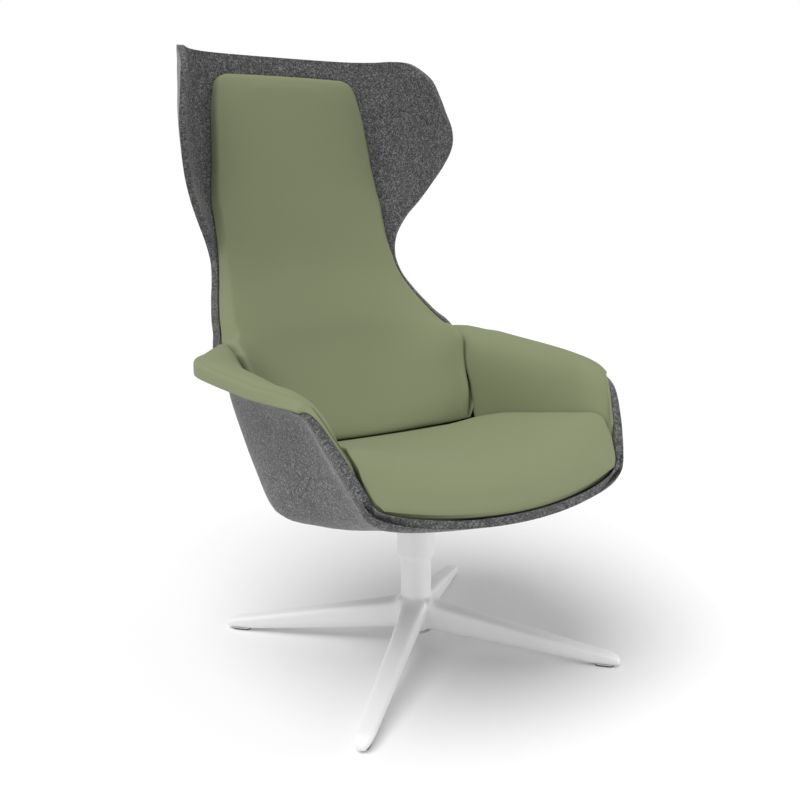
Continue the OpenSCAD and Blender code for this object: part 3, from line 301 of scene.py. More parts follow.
def spot(v, u):
    """Points of the inside of the shell, at arrays v and u."""
    v, u = np.broadcast_arrays(array(v), array(u))
    R = row(v)
    a = np.minimum(np.abs(u), 1) * 6
    i = np.minimum(np.floor(a).astype(int), 5)
    f = a - i
    w = np.stack([(1 - f) ** 3, 3 * f ** 3 - 6 * f * f + 4, -3 * f ** 3 + 3 * f * f + 3 * f + 1,
                  f ** 3], -1) / 6
    e, one = R[..., 2], np.ones_like(R[..., 2])
    X = np.stack([-R[..., 5], 0 * e, R[..., 5], R[..., 6], R[..., 7], R[..., 8], e, e, e], -1)
    T = np.stack([R[..., 9] / 4, 0 * e, R[..., 9] / 4, R[..., 9], R[..., 10], R[..., 11],
                  one, one, one], -1)
    pick = i[..., None] + np.arange(4)
    x = (w * np.take_along_axis(X, pick, -1)).sum(-1)
    t = (w * np.take_along_axis(T, pick, -1)).sum(-1)
    y = R[..., 0] + (R[..., 3] - R[..., 0]) * t - R[..., 12] * (1 - (x / e) ** 2)
    z = R[..., 1] + (R[..., 4] - R[..., 1]) * t
    floor = PAN_Z + FLAT_RISE
    soft = FLOOR_BLEND
    z = np.where(z < floor + soft,
                 floor + np.where(z < floor - soft, 0, (z - floor + soft) ** 2 / (4 * soft)), z)
    return np.stack([np.sign(u) * x, y, z], -1)


def unit(a):
    """Directions of length 1."""
    return a / np.linalg.norm(a, axis=-1, keepdims=True)


def facing(v, u):
    """Direction that the inside of the shell faces."""
    v, u = np.broadcast_arrays(array(v), array(u))
    n = unit(np.cross(spot(v + 0.02, u) - spot(v - 0.02, u),
                      spot(v, np.minimum(u + 0.002, 1)) - spot(v, np.maximum(u - 0.002, -1))))
    upright = np.clip((SHELL_TOP - row(v)[..., 1]) / ((SHELL_TOP - WAIST_Z) * 0.2), None, 1)
    n = n * np.stack([np.ones_like(upright), np.ones_like(upright), upright], -1)
    return unit(n)


# ---------------------------------------------------------------- mesh tools
def make_object(name, points, faces, body):
    """A mesh object from millimetre points, faces turned outwards, riding on a CAD body."""
    mesh = bpy.data.meshes.new(name)
    mesh.from_pydata([tuple(p) for p in np.asarray(points) / 1000], [], faces)
    mesh.validate()
    obj = bpy.data.objects.new(name, mesh)
    bpy.context.scene.collection.objects.link(obj)
    bpy.context.view_layer.objects.active = obj
    for o in bpy.context.selected_objects:
        o.select_set(False)
    obj.select_set(True)
    bpy.ops.object.mode_set(mode="EDIT")
    bpy.ops.mesh.select_all(action="SELECT")
    bpy.ops.mesh.normals_make_consistent(inside=False)
    bpy.ops.object.mode_set(mode="OBJECT")
    mesh.shade_smooth()
    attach(obj, body)
    return obj


def slab_faces(m, n):
    """Faces of a solid between two m by n grids, and how many of them are the two grids."""
    size, faces = m * n, []
    for i in range(m - 1):
        for j in range(n - 1):
            a = i * n + j
            faces.append((a, a + 1, a + n + 1, a + n))
            faces.append((a + size, a + n + size, a + n + 1 + size, a + 1 + size))
    skins = len(faces)
    loop = (list(range(n - 1)) + [i * n + n - 1 for i in range(m - 1)]
            + [(m - 1) * n + j for j in range(n - 1, 0, -1)] + [i * n for i in range(m - 1, 0, -1)])
    for a, b in zip(loop, loop[1:] + loop[:1]):
        faces.append((b, a, a + size, b + size))
    return faces, skins


def make_slab(name, front, rear):
    """A solid between two grids of points, and how many of its faces are the two grids."""
    faces, skins = slab_faces(*front.shape[:2])
    points = np.concatenate([front.reshape(-1, 3), rear.reshape(-1, 3)])
    return make_object(name, points, faces, "seat"), skins


def loft_faces(m, n):
    """Faces of m closed rings of n points, with a flat face over each end."""
    faces = [(i * n + j, i * n + (j + 1) % n, (i + 1) * n + (j + 1) % n, (i + 1) * n + j)
             for i in range(m - 1) for j in range(n)]
    return faces + [tuple(range(n))[::-1], tuple(range((m - 1) * n, m * n))]


def ring(radius, height, count):
    """Points of a level circle."""
    around = 2 * math.pi * np.arange(count) / count
    return np.stack([radius * np.cos(around), radius * np.sin(around), np.full(count, height)], -1)


def apply_modifiers(obj):
    """Keeps what an object's modifiers make of it."""
    deps = bpy.context.evaluated_depsgraph_get()
    mesh = bpy.data.meshes.new_from_object(obj.evaluated_get(deps))
    old, obj.data = obj.data, mesh
    obj.modifiers.clear()
    bpy.data.meshes.remove(old)


def places(obj):
    """Places of a mesh's points, in metres."""
    co = np.zeros(len(obj.data.vertices) * 3)
    obj.data.vertices.foreach_get("co", co)
    return co.reshape(-1, 3)


def set_places(obj, co):
    """Moves a mesh's points."""
    obj.data.vertices.foreach_set("co", np.asarray(co, float).ravel())
    obj.data.update()


RELAX, RELAX_BACK = 0.5, 0.96


def relax(obj, rounds):
    """Evens a mesh out: each point goes towards the middle of its neighbours, and nearly back."""
    co = places(obj)
    edges = np.array([e.vertices[:] for e in obj.data.edges])
    count = np.bincount(edges.ravel(), minlength=len(co))[:, None]
    for k in range(rounds):
        for step in (RELAX, -RELAX * RELAX_BACK):
            near = np.stack([np.bincount(edges[:, 0], co[edges[:, 1], c], len(co))
                             + np.bincount(edges[:, 1], co[edges[:, 0], c], len(co))
                             for c in range(3)], 1)
            co = co + step * (near / np.maximum(count, 1) - co)
    set_places(obj, co)


def grow(obj, distance):
    """Moves every point along its normal by a distance in mm."""
    normals = np.zeros(len(obj.data.vertices) * 3)
    obj.data.vertices.foreach_get("normal", normals)
    set_places(obj, places(obj) + normals.reshape(-1, 3) * distance / 1000)


def remesh(obj, voxel):
    """Draws a mesh anew as one skin of even squares, voxel mm wide."""
    mod = obj.modifiers.new("even", "REMESH")
    mod.mode, mod.voxel_size, mod.use_smooth_shade = "VOXEL", voxel / 1000, True
    apply_modifiers(obj)


SWELL_FRAMES, SWELL_PRESSURE = 20, 4.0


def swell(obj, cap):
    """Fills a closed cover like a stuffed cushion. No point moves further than cap, in mm."""
    start = places(obj)
    cloth = obj.modifiers.new("cover", "CLOTH")
    settings = cloth.settings
    settings.quality = 3
    settings.mass = 0.3
    settings.tension_stiffness = settings.compression_stiffness = 20
    settings.shear_stiffness = 8
    settings.bending_stiffness = 3
    settings.effector_weights.gravity = 0
    settings.use_pressure = True
    settings.uniform_pressure_force = SWELL_PRESSURE
    cloth.point_cache.frame_start, cloth.point_cache.frame_end = 1, SWELL_FRAMES
    scene = bpy.context.scene
    scene.frame_start, scene.frame_end = 1, SWELL_FRAMES
    for f in range(1, SWELL_FRAMES + 1):
        scene.frame_set(f)
    deps = bpy.context.evaluated_depsgraph_get()
    done = obj.evaluated_get(deps).to_mesh()
    end = np.zeros(len(done.vertices) * 3)
    done.vertices.foreach_get("co", end)
    end = end.reshape(-1, 3)
    obj.evaluated_get(deps).to_mesh_clear()
    obj.modifiers.clear()
    scene.frame_set(1)
    move = np.nan_to_num(end - start)
    far = np.linalg.norm(move, axis=1, keepdims=True)
    move *= cap / 1000 * np.tanh(far / (cap / 1000)) / np.maximum(far, 1e-9)
    set_places(obj, start + move)
    print(obj.name, "swelled, mm before and after the cap", round(float(far.mean() * 1000), 2),
          round(float(np.linalg.norm(move, axis=1).mean() * 1000), 2))


def subdivide(obj):
    """Splits each face in four on a smooth surface."""
    mod = obj.modifiers.new("fine", "SUBSURF")
    mod.levels = mod.render_levels = 1
    apply_modifiers(obj)
    obj.data.shade_smooth()


# ---------------------------------------------------------------- materials
class Tree:
    """Short hand for building a node material."""

    def __init__(self, name):
        self.material = bpy.data.materials.new(name)
        self.material.use_nodes = True
        self.nodes = self.material.node_tree.nodes
        self.links = self.material.node_tree.links
        self.shader = self.nodes["Principled BSDF"]
        self.place = self.add("ShaderNodeTexCoord").outputs["Object"]

    def add(self, kind, **values):
        """A new node with its settings."""
        node = self.nodes.new(kind)
        for key, value in values.items():
            setattr(node, key, value)
        return node

    def link(self, a, b):
        self.links.new(a, b)

    def stretched(self, scale):
        """The object's own coordinates, scaled along each axis."""
        node = self.add("ShaderNodeMapping")
        node.inputs["Scale"].default_value = scale
        self.link(self.place, node.inputs["Vector"])
        return node.outputs["Vector"]

    def noise(self, scale, detail=3.0, rough=0.5, vector=None, distort=0.0):
        node = self.add("ShaderNodeTexNoise")
        node.inputs["Scale"].default_value = scale
        node.inputs["Detail"].default_value = detail
        node.inputs["Roughness"].default_value = rough
        node.inputs["Distortion"].default_value = distort
        self.link(vector or self.place, node.inputs["Vector"])
        return node.outputs["Fac"]

    def cells(self, scale, vector=None):
        """A Voronoi pattern of small cells."""
        node = self.add("ShaderNodeTexVoronoi", feature="F1")
        node.inputs["Scale"].default_value = scale
        self.link(vector or self.place, node.inputs["Vector"])
        return node

    def speckle(self, scale, vector):
        """One grey for each small cell."""
        split = self.add("ShaderNodeSeparateColor")
        self.link(self.cells(scale, vector).outputs["Color"], split.inputs[0])
        return split.outputs[0]

    def math(self, kind, a, b):
        """Sum or product of two outputs or numbers."""
        node = self.add("ShaderNodeMath", operation=kind)
        for socket, value in zip(node.inputs, (a, b)):
            if isinstance(value, (int, float)):
                socket.default_value = value
            else:
                self.link(value, socket)
        return node.outputs[0]

    def ramp(self, fac, stops):
        """Colours at places from 0 to 1."""
        node = self.add("ShaderNodeValToRGB")
        elements = node.color_ramp.elements
        while len(elements) < len(stops):
            elements.new(0.5)
        for element, (at, colour) in zip(elements, stops):
            element.position = at
            element.color = (*colour, 1)
        self.link(fac, node.inputs["Fac"])
        return node.outputs["Color"]

    def mix(self, fac, a, b):
        """Colour a turning into colour b as fac goes from 0 to 1."""
        node = self.add("ShaderNodeMix", data_type="RGBA")
        self.link(fac, node.inputs[0])
        for socket, value in ((node.inputs[6], a), (node.inputs[7], b)):
            if isinstance(value, tuple):
                socket.default_value = (*value, 1)
            else:
                self.link(value, socket)
        return node.outputs[2]

    def bump(self, height, strength, distance):
        """Relief from a height, its distance in metres."""
        node = self.add("ShaderNodeBump")
        node.inputs["Strength"].default_value = strength
        node.inputs["Distance"].default_value = distance
        self.link(height, node.inputs["Height"])
        self.link(node.outputs["Normal"], self.shader.inputs["Normal"])

    def set(self, **values):
        """Constant values on the shader's own sockets."""
        for key, value in values.items():
            socket = self.shader.inputs[key.replace("_", " ")]
            socket.default_value = (*value, 1) if isinstance(value, tuple) else value

    def colour(self, output):
        self.link(output, self.shader.inputs["Base Color"])

    def rough(self, output):
        self.link(output, self.shader.inputs["Roughness"])


def felt_material(name, dark, mid, light):
    """Pressed heather felt: single fibres of several greys, matted, a little fuzzy."""
    t = Tree(name)
    warp = t.add("ShaderNodeVectorMath", operation="ADD")
    drift = t.add("ShaderNodeTexNoise")
    drift.inputs["Scale"].default_value = 240
    t.link(t.place, drift.inputs["Vector"])
    shift = t.add("ShaderNodeVectorMath", operation="SCALE")
    shift.inputs["Scale"].default_value = 0.005
    t.link(drift.outputs["Color"], shift.inputs[0])
    t.link(t.place, warp.inputs[0])
    t.link(shift.outputs[0], warp.inputs[1])
    fleck = t.speckle(430, warp.outputs[0])
    lint = t.speckle(820, warp.outputs[0])
    clumps = t.noise(150, detail=2)
    mixed = t.math("ADD", t.math("MULTIPLY", fleck, 0.42),
                   t.math("ADD", t.math("MULTIPLY", lint, 0.28), t.math("MULTIPLY", clumps, 0.3)))
    heather = t.ramp(mixed, [(0.26, dark), (0.44, mid), (0.56, mid), (0.76, light)])
    broad = t.noise(9, detail=2)
    t.colour(t.mix(t.math("MULTIPLY", broad, 0.3), heather, tuple(0.72 * c for c in mid)))
    t.rough(t.math("ADD", t.math("MULTIPLY", fleck, 0.12), 0.84))
    t.bump(mixed, 0.5, 0.001)
    t.set(Sheen_Weight=0.35, Sheen_Roughness=0.35, Sheen_Tint=(0.9, 0.9, 0.9),
          Specular_IOR_Level=0.25)
    return t.material


def weave_material(name, base, shade, tint):
    """Fine woven wool: a plain weave about a millimetre across, slubs along one thread."""
    t = Tree(name)
    threads = t.cells(880).outputs["Distance"]
    grain = t.noise(1.0, detail=2, vector=t.stretched((160, 800, 900)))
    fine = t.noise(620, rough=0.6)
    broad = t.noise(7, detail=2)
    body = t.mix(t.math("MULTIPLY", grain, 0.6), base, shade)
    body = t.mix(t.math("MULTIPLY", fine, 0.25), body, tint)
    t.colour(t.mix(t.math("MULTIPLY", broad, 0.18), body, tuple(0.9 * c for c in shade)))
    t.rough(t.math("ADD", t.math("MULTIPLY", fine, 0.1), 0.8))
    height = t.math("ADD", t.math("MULTIPLY", threads, 0.6),
                    t.math("ADD", t.math("MULTIPLY", grain, 0.5), t.math("MULTIPLY", fine, 0.3)))
    t.bump(height, 0.28, 0.0007)
    t.set(Sheen_Weight=0.10, Sheen_Roughness=0.4, Sheen_Tint=(0.8, 0.88, 0.6),
          Specular_IOR_Level=0.22)
    return t.material


def coat_material(name, base):
    """Satin powder coat with a faint orange peel."""
    t = Tree(name)
    peel = t.noise(520, detail=2)
    broad = t.noise(11, rough=0.6)
    t.colour(t.mix(t.math("MULTIPLY", broad, 0.12), base, tuple(0.93 * c for c in base)))
    t.rough(t.math("ADD", t.math("MULTIPLY", peel, 0.08), 0.38))
    t.bump(peel, 0.05, 0.0003)
    t.set(Specular_IOR_Level=0.5, Coat_Weight=0.12, Coat_Roughness=0.3)
    return t.material


def metal_material(name, base, rough):
    """Zinc plated steel, faintly brushed, with darker specks."""
    t = Tree(name)
    lines = t.noise(1.0, rough=0.6, vector=t.stretched((60, 60, 900)))
    specks = t.noise(90, detail=4, rough=0.7)
    t.colour(t.mix(t.math("MULTIPLY", specks, 0.4), base, tuple(0.7 * c for c in base)))
    t.rough(t.math("ADD", t.math("MULTIPLY", lines, 0.18), rough - 0.06))
    t.bump(lines, 0.08, 0.0002)
    t.set(Metallic=1.0)
    return t.material


def plastic_material(name, base, rough):
    """Moulded plastic with a fine spark-eroded grain."""
    t = Tree(name)
    grain = t.noise(1400, detail=2, rough=0.6)
    broad = t.noise(30, detail=2)
    t.colour(t.mix(t.math("MULTIPLY", broad, 0.3), base, tuple(0.8 * c for c in base)))
    t.rough(t.math("ADD", t.math("MULTIPLY", grain, 0.15), rough - 0.07))
    t.bump(grain, 0.12, 0.0002)
    return t.material


def board_material(name):
    """Birch plywood: wavy grain on the faces and plies round the edge."""
    t = Tree(name)
    grain = t.noise(1.0, detail=5, rough=0.6, vector=t.stretched((12, 160, 12)), distort=0.6)
    plies = t.add("ShaderNodeTexWave", wave_type="BANDS", bands_direction="Z")
    plies.inputs["Scale"].default_value = 110
    t.link(t.place, plies.inputs["Vector"])
    wood = t.ramp(grain, [(0.3, (0.42, 0.27, 0.14)), (0.55, (0.60, 0.43, 0.25)),
                          (0.75, (0.68, 0.52, 0.33))])
    t.colour(t.mix(t.math("MULTIPLY", plies.outputs["Fac"], 0.3), wood, (0.32, 0.2, 0.1)))
    t.rough(t.math("ADD", t.math("MULTIPLY", grain, 0.15), 0.55))
    t.bump(grain, 0.15, 0.0004)
    return t.material


FIBRE_DARK = (0.030, 0.030, 0.031)
felt = felt_material("felt", FIBRE_DARK, (0.092, 0.092, 0.094), (0.30, 0.30, 0.303))
# the cut edge's copy of the felt is made darker than the felt: painted shade on the edge faces
felt_cut_painted_shade = felt_material("felt_cut_painted_shade", FIBRE_DARK, (0.085, 0.085, 0.087), (0.25, 0.25, 0.253))
sage = weave_material("sage_weave", base=(0.220, 0.247, 0.142), shade=(0.194, 0.221, 0.122),
                      tint=(0.268, 0.297, 0.182))
white = coat_material("white_coat", (0.83, 0.83, 0.83))
steel = metal_material("plated_steel", (0.55, 0.56, 0.58), 0.32)
ball_steel = metal_material("ball_steel", (0.75, 0.76, 0.78), 0.12)
black_nylon = plastic_material("black_nylon", (0.03, 0.03, 0.032), 0.45)
white_nylon = plastic_material("white_nylon", (0.74, 0.74, 0.73), 0.45)
sole_black = plastic_material("sole_black", (0.016, 0.016, 0.017), 0.6)
plywood = board_material("plywood")


def dress(obj, *materials):
    """Gives an object its materials in place of any others."""
    obj.data.materials.clear()
    for material in materials:
        obj.data.materials.append(material)


# ---------------------------------------------------------------- felt shell
def build_felt():
    """The shell, its cut edge a little darker as painted shade, and softly broken."""
    v = np.linspace(0, LAST, LAST * FELT_STEPS + 1)[:, None]
    u = np.linspace(-1, 1, FELT_COLUMNS)[None, :]
    inner = spot(v, u)
    obj, skins = make_slab("felt_body", inner, inner - facing(v, u) * FELT_T)
    dress(obj, felt, felt_cut_painted_shade)
    # the cut edge's faces take the darker copy of the felt, painted shade
    for index in range(skins, len(obj.data.polygons)):
        obj.data.polygons[index].material_index = 1
    bevel = obj.modifiers.new("edge", "BEVEL")
    bevel.width, bevel.segments, bevel.limit_method = FELT_BEVEL / 1000, 2, "ANGLE"
    bevel.angle_limit = math.radians(50)
    weighted = obj.modifiers.new("normals", "WEIGHTED_NORMAL")
    weighted.keep_sharp = True
    apply_modifiers(obj)
    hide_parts("felt_shell")


# ---------------------------------------------------------------- cushions
def thickness(v):
    """Thickness of the back cushion at stations v."""
    return BACK_PAD_T + (LUMBAR_T - BACK_PAD_T) * fade(v, THICKEN_FROM, THICKEN_TO - THICKEN_FROM)


def cover(v):
    """Share of the half section that the back cushion covers at stations v."""
    table = array(BACK_COVER_SHARES)
    return smooth(table[:, 0], table[:, 1], np.ravel(v)).reshape(np.shape(v))


def column_grid(steps):
    """Shares of the half width, the thickness and the roll for columns from side to side."""
    half = refine(CUSHION_COLUMN_SHARES, steps)
    left = half[:0:-1] * array([-1, 1, 1])
    return np.concatenate([left, half])


def seat_level(x, y):
    """Height of the seat's top at x and y."""
    table = refine(SEAT_TOP_SHARES, ROW_STEPS)[::-1]
    s = y / BACK_REACH
    a = np.clip(np.abs(x) / np.interp(s, table[:, 0], SEAT_HALVES[::-1]), 0, 1)
    rise, dish = np.interp(s, table[:, 0], table[:, 1]), np.interp(s, table[:, 0], table[:, 2])
    return PAN_Z + rise * (SEAT_TOP - PAN_Z) + SEAT_DISH * dish * a ** 2.5


def through(x, y, at):
    """Natural cubic run through the rows y at x, read at the places `at`."""
    n, h = len(x), np.diff(x)
    left, right = np.eye(n), np.zeros_like(y)
    for k in range(1, n - 1):
        left[k, k - 1:k + 2] = h[k - 1], 2 * (h[k - 1] + h[k]), h[k]
        right[k] = 6 * ((y[k + 1] - y[k]) / h[k] - (y[k] - y[k - 1]) / h[k - 1])
    bend = np.linalg.solve(left, right)
    i = np.clip(np.searchsorted(x, at, side="right") - 1, 0, n - 2)
    b = ((at - x[i]) / h[i])[:, None]
    a = 1 - b
    return (a * y[i] + b * y[i + 1]
            + ((a ** 3 - a) * bend[i] + (b ** 3 - b) * bend[i + 1]) * (h[i] ** 2)[:, None] / 6)


def beside_pad(v):
    """1 where the back cushion's side leans over an arm pad, 0 elsewhere."""
    return fade(v, 16.1, 1.2) * fade(v, 21.9, -0.5)


def build_back():
    """Back cushion: a crowned front, smoothed across and along, on a plain rear."""
    rows, cols = refine(BACK_ROW_SHARES, ROW_STEPS), column_grid(COLUMN_STEPS)
    a = cols[None, :, 0]
    v = rows[:, 0:1] + rows[:, 3:4] * a ** 4
    u = (cover(v) + np.interp(v, LEAN_AT, BACK_LEAN) * a ** 8) * a
    side = (cols[None, :, 1]
            + beside_pad(v) * SIDE_FILL * (1 - cols[None, :, 1]) * (np.abs(a) > SIDE_FROM))
    lift = BACK_FOOT + thickness(v) * rows[:, 2:3] * side * (1 - SIDE_THIN * np.abs(a) ** 3)
    front = spot(v, u) + facing(v, u) * lift[..., None]
    share = cols[:, 0]
    knots = [int(np.argmin(np.abs(share - k))) for k in BACK_KNOTS]
    inside = np.abs(share) <= BACK_KNOTS[-1]
    for line in front:
        line[inside] = through(share[knots], line[knots], share[inside])
    n = SIDE_COLUMNS
    for k in range(ROUNDS_ACROSS):
        mid = front[:, n:-n]
        mid += 0.5 * ((front[:, n - 1:-n - 1] + front[:, n + 1:1 - n]) / 2 - mid)
    for k in range(ROUNDS_ALONG):
        mid = front[1:-1, n:-n]
        mid += 0.5 * ((front[:-2, n:-n] + front[2:, n:-n]) / 2 - mid)
    low = seat_level(front[..., 0], front[..., 1]) + SEAT_CLEAR
    turn = int(np.argmax(rows[:, 0]))
    sink = fade(rows[:, 0], SINK_FROM, SINK_RUN)
    sink[turn:] = 1
    sink = ease(sink)
    for j in range(front.shape[1]):
        k = int(np.argmin(front[:, j, 2]))
        front[:, j, 2] += sink * min(low[k, j] - front[k, j, 2], 0)
    over_seat = front[..., 1] < OVER_SEAT * BACK_REACH
    front[..., 2] = np.where(over_seat, np.maximum(front[..., 2], low), front[..., 2])
    vr = rows[:, 1:2] + 0 * a
    ur = (cover(vr) - REAR_TUCK * beside_pad(vr)) * a
    rear = spot(vr, ur) + facing(vr, ur) * BACK_REAR_LIFT
    return make_slab("back_pad", front, rear)[0]


def seat_rows():
    """Rows and columns of the seat's top, and its points' places along Y and Z."""
    rows, cols = refine(SEAT_TOP_SHARES, ROW_STEPS), column_grid(COLUMN_STEPS)
    a, roll = cols[None, :, 0], cols[None, :, 2] * SEAT_ROLL
    y = (rows[:, 0:1] * np.where(rows[:, 0:1] < 0, FRONT_REACH, BACK_REACH)
         + rows[:, 4:5] * FRONT_BOW * a * a)
    z = (PAN_Z + rows[:, 1:2] * (SEAT_TOP - PAN_Z) + SEAT_DISH * rows[:, 2:3] * np.abs(a) ** 2.5
         - CUSHION_R * rows[:, 5:6] * roll)
    return rows, a, y + 0 * a, z


def walls():
    """Points of what stands beside the seat: the pads where they are, the felt elsewhere."""
    v, u = np.meshgrid(np.linspace(WALLS_FROM, LAST, WALL_ROWS),
                       np.linspace(WALLS_IN, 1, WALL_COLUMNS), indexing="ij")
    table = refine(PAD_ROW_SHARES, ROW_STEPS)
    start = np.interp(v, table[:, 0], table[:, 1])
    t = ARM_PAD_T * np.interp(v, table[:, 0], table[:, 2])
    lift = np.where((u > start - PAD_EDGE) & (v < PAD_END), t, 0)
    return (spot(v, u) + facing(v, u) * lift[..., None]).reshape(-1, 3)


def find_seat_halves():
    """Half width of each row of the seat's top, out to what stands beside it."""
    rows, a, y, z = seat_rows()
    beside, half = walls(), rows[:, 3] * PAN_HALF
    for i in range(len(rows)):
        level = (np.abs(beside[:, 1] - y[i, -1]) < 4) & (np.abs(beside[:, 2] - z[i, -1]) < 4)
        near = beside[level, 0]
        if len(near):
            half[i] = max(half[i], near.min() - SEAT_ROOM)
    half[1:-1] = (half[:-2] + 2 * half[1:-1] + half[2:]) / 4
    return half * (1 - 0.04 * fade(rows[:, 0], -0.95, -0.039) ** 2)


def build_seat():
    """Seat cushion: its crowned top between the pads, its underside on the shell."""
    _, a, y, z = seat_rows()
    front = np.stack([a * SEAT_HALVES[:, None], y, z], -1)
    v = refine([[s] for s in SEAT_UNDER_ROW_SHARES], ROW_STEPS)
    shares = array(SEAT_UNDER_SHARES)
    u = smooth(shares[:, 0], shares[:, 1], v.ravel())[:, None] * a
    rear = spot(v + 0 * a, u) + facing(v + 0 * a, u) * SEAT_REAR_LIFT
    rear[..., 0] *= 1 - 0.06 * fade(v, 28.0, 0.8) ** 2
    return make_slab("seat_pad", front, rear)[0]


def pad_ring(r):
    """Points round one section of an arm pad: under it, down its lip, over its top."""
    v, start, full, lip_share, rim_share = r
    start -= PAD_TUCK * fade(v, 16.6, 0.8) * fade(v, 22.6, -0.6)
    lip, stand_back = max(lip_share, 0), max(-lip_share, 0)
    t, rim_t = ARM_PAD_T * full, ARM_PAD_T * rim_share
    c = spot(v, 1.0)
    e = unit(c - spot(v, RIM_IN))
    n = facing(v, 1.0)
    inset = LIP_T * LIP_INSET
    e_in = GAP + stand_back * (-inset - 2 * GAP)
    e_out = (1 - stand_back) * (2 * GAP + lip * (LIP_T - 2 * GAP)) - stand_back * inset
    n_low = GAP - lip * (FELT_T + GAP)
    rise = max(rim_t, 2 * GAP)
    under = np.linspace(start, 1, PAD_UNDER)
    points = [spot(v, u) + facing(v, u) * (PAD_UNDER_LIFT + PAD_RIM_LIFT * (k > 20))
              for k, u in enumerate(under[:-1])]
    points.append(c + e * (e_in - GAP) + n * GAP)
    radius = min(LIP_ROUND, (e_out - e_in) / 2, max((rise - n_low) / 3, 0.5))
    points += [c + e * e_in + n * (n_low + radius * 0.6), c + e * (e_in + radius * 0.4) + n * n_low,
               c + e * (e_out - radius) + n * n_low]
    for k in range(1, PAD_ARC):
        a = math.pi / 2 * k / PAD_ARC
        points.append(c + e * (e_out - radius + radius * math.sin(a))
                      + n * (n_low + radius - radius * math.cos(a)))
    bend = min(RIM_ROUND, rise - n_low - radius, rise * 0.9 + 2)
    points.append(c + e * e_out + n * (n_low + radius))
    points.append(c + e * e_out + n * (rise - bend))
    for k in range(1, PAD_ARC + 1):
        a = math.pi / 2 * k / PAD_ARC
        points.append(c + e * (e_out - bend + bend * math.cos(a))
                      + n * (rise - bend + bend * math.sin(a)))
    slope = fade(v, CREST_FROM, CREST_RUN)
    reach = CREST_REACH + CREST_WIDEN * slope
    edge = [start + step for step in (0.018, 0.011, 0.004)]
    for u in [*np.linspace(0.965, start + 0.03, PAD_OVER), *edge]:
        share = ease(fade(-u, -(CREST + CREST_SHIFT * slope), reach))
        near = min((u - start) / PAD_ROUND, 1)
        lift = (rim_t + (t - rim_t) * share) * math.sqrt(max(1 - (1 - near) ** 2, 0.1))
        points.append(spot(v, u) + facing(v, u) * max(lift, PAD_LEAST))
    points.append(spot(v, start) + facing(v, start) * max(t * 0.28, 1.0))
    return np.array(points)


def build_arm(side, name):
    """An arm pad, on the side of +X where side is 1."""
    rings = np.array([pad_ring(r) for r in refine(PAD_ROW_SHARES, ROW_STEPS)])
    points = rings.reshape(-1, 3) * array([side, 1, 1])
    return make_object(name, points, loft_faces(*rings.shape[:2]), "seat")


def upholster(obj, node, inset, cap):
    """Turns a drawn form into a stuffed one in its fabric."""
    grow(obj, -inset)
    swell(obj, cap)
    relax(obj, 1)
    subdivide(obj)
    obj.data.shade_smooth()
    dress(obj, sage)
    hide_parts(node)


# ---------------------------------------------------------------- base
def leg_rings():
    """Sections of the leg along +X: squared ovals, narrower underneath."""
    a = 2 * math.pi * (np.arange(LEG_RING) + 0.5) / LEG_RING
    c, s = np.cos(a), np.sin(a)
    rings = []
    for place, high, wide in refine(LEG_SHARES, LEG_STEPS):
        top = LEG_TIP_TOP + high * (LEG_ROOT_TOP - LEG_TIP_TOP)
        low = HUB_BOTTOM + (LEG_TIP_BOTTOM - HUB_BOTTOM) * min(place / LEG_LOW_END, 1)
        w = LEG_TIP_HALF + wide * (LEG_ROOT_HALF - LEG_TIP_HALF)
        rings.append(np.stack([
            np.full(LEG_RING, place * LEG_REACH),
            w * (1 - LEG_KEEL * (1 - s) / 2) * np.sign(c) * np.abs(c) ** LEG_SQUARE,
            (top + low) / 2 + (top - low) / 2 * np.sign(s) * np.abs(s) ** LEG_SQUARE], -1))
    return np.array(rings)


def build_base():
    """Post and four tapering legs, cast in one piece with soft fillets and a bore."""
    rings = leg_rings()
    leg, leg_faces = rings.reshape(-1, 3), loft_faces(*rings.shape[:2])
    points, faces = [], []
    for turn in (45, 135, 225, 315):
        a = math.radians(turn)
        spin = np.array([[math.cos(a), math.sin(a), 0], [-math.sin(a), math.cos(a), 0], [0, 0, 1]])
        faces += [tuple(i + len(points) for i in f) for f in leg_faces]
        points += list(leg @ spin)
    post = np.array([ring(radius, height, POST_RING) for radius, height in (
        (POST_R * POST_FLARE, HUB_BOTTOM), (POST_R * POST_FLARE, HUB_BOTTOM + FLARE_STRAIGHT),
        (POST_R, HUB_BOTTOM + FLARE_END), (POST_R, POST_TOP))])
    faces += [tuple(i + len(points) for i in f) for f in loft_faces(*post.shape[:2])]
    points += list(post.reshape(-1, 3))
    obj = make_object("base_casting", points, faces, "base")
    remesh(obj, BASE_VOXEL)
    relax(obj, 6)
    hollow = bore_tool()
    cut = obj.modifiers.new("bore", "BOOLEAN")
    cut.operation, cut.object, cut.solver = "DIFFERENCE", hollow, "EXACT"
    apply_modifiers(obj)
    bpy.data.objects.remove(hollow)
    obj.data.shade_smooth()
    dress(obj, white)
    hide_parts("star_base")


def bore_tool():
    """The round bar that the post's bore is cut with."""
    rings = np.array([ring(BORE_R, height, BORE_RING)
                      for height in (HUB_BOTTOM - BORE_SPARE, POST_TOP + BORE_SPARE)])
    mesh = bpy.data.meshes.new("bore_tool")
    mesh.from_pydata([tuple(p) for p in rings.reshape(-1, 3) / 1000], [],
                     loft_faces(2, BORE_RING))
    obj = bpy.data.objects.new("bore_tool", mesh)
    bpy.context.scene.collection.objects.link(obj)
    return obj


# ---------------------------------------------------------------- the chair
SEAT_HALVES = find_seat_halves()
build_felt()
upholster(build_back(), "back_cushion", inset=0.5, cap=1.5)
upholster(build_seat(), "seat_cushion", inset=0.5, cap=1.5)
upholster(build_arm(1, "arm_lining_left"), "arm_pad_left", inset=0.2, cap=0.6)
upholster(build_arm(-1, "arm_lining_right"), "arm_pad_right", inset=0.2, cap=0.6)
build_base()

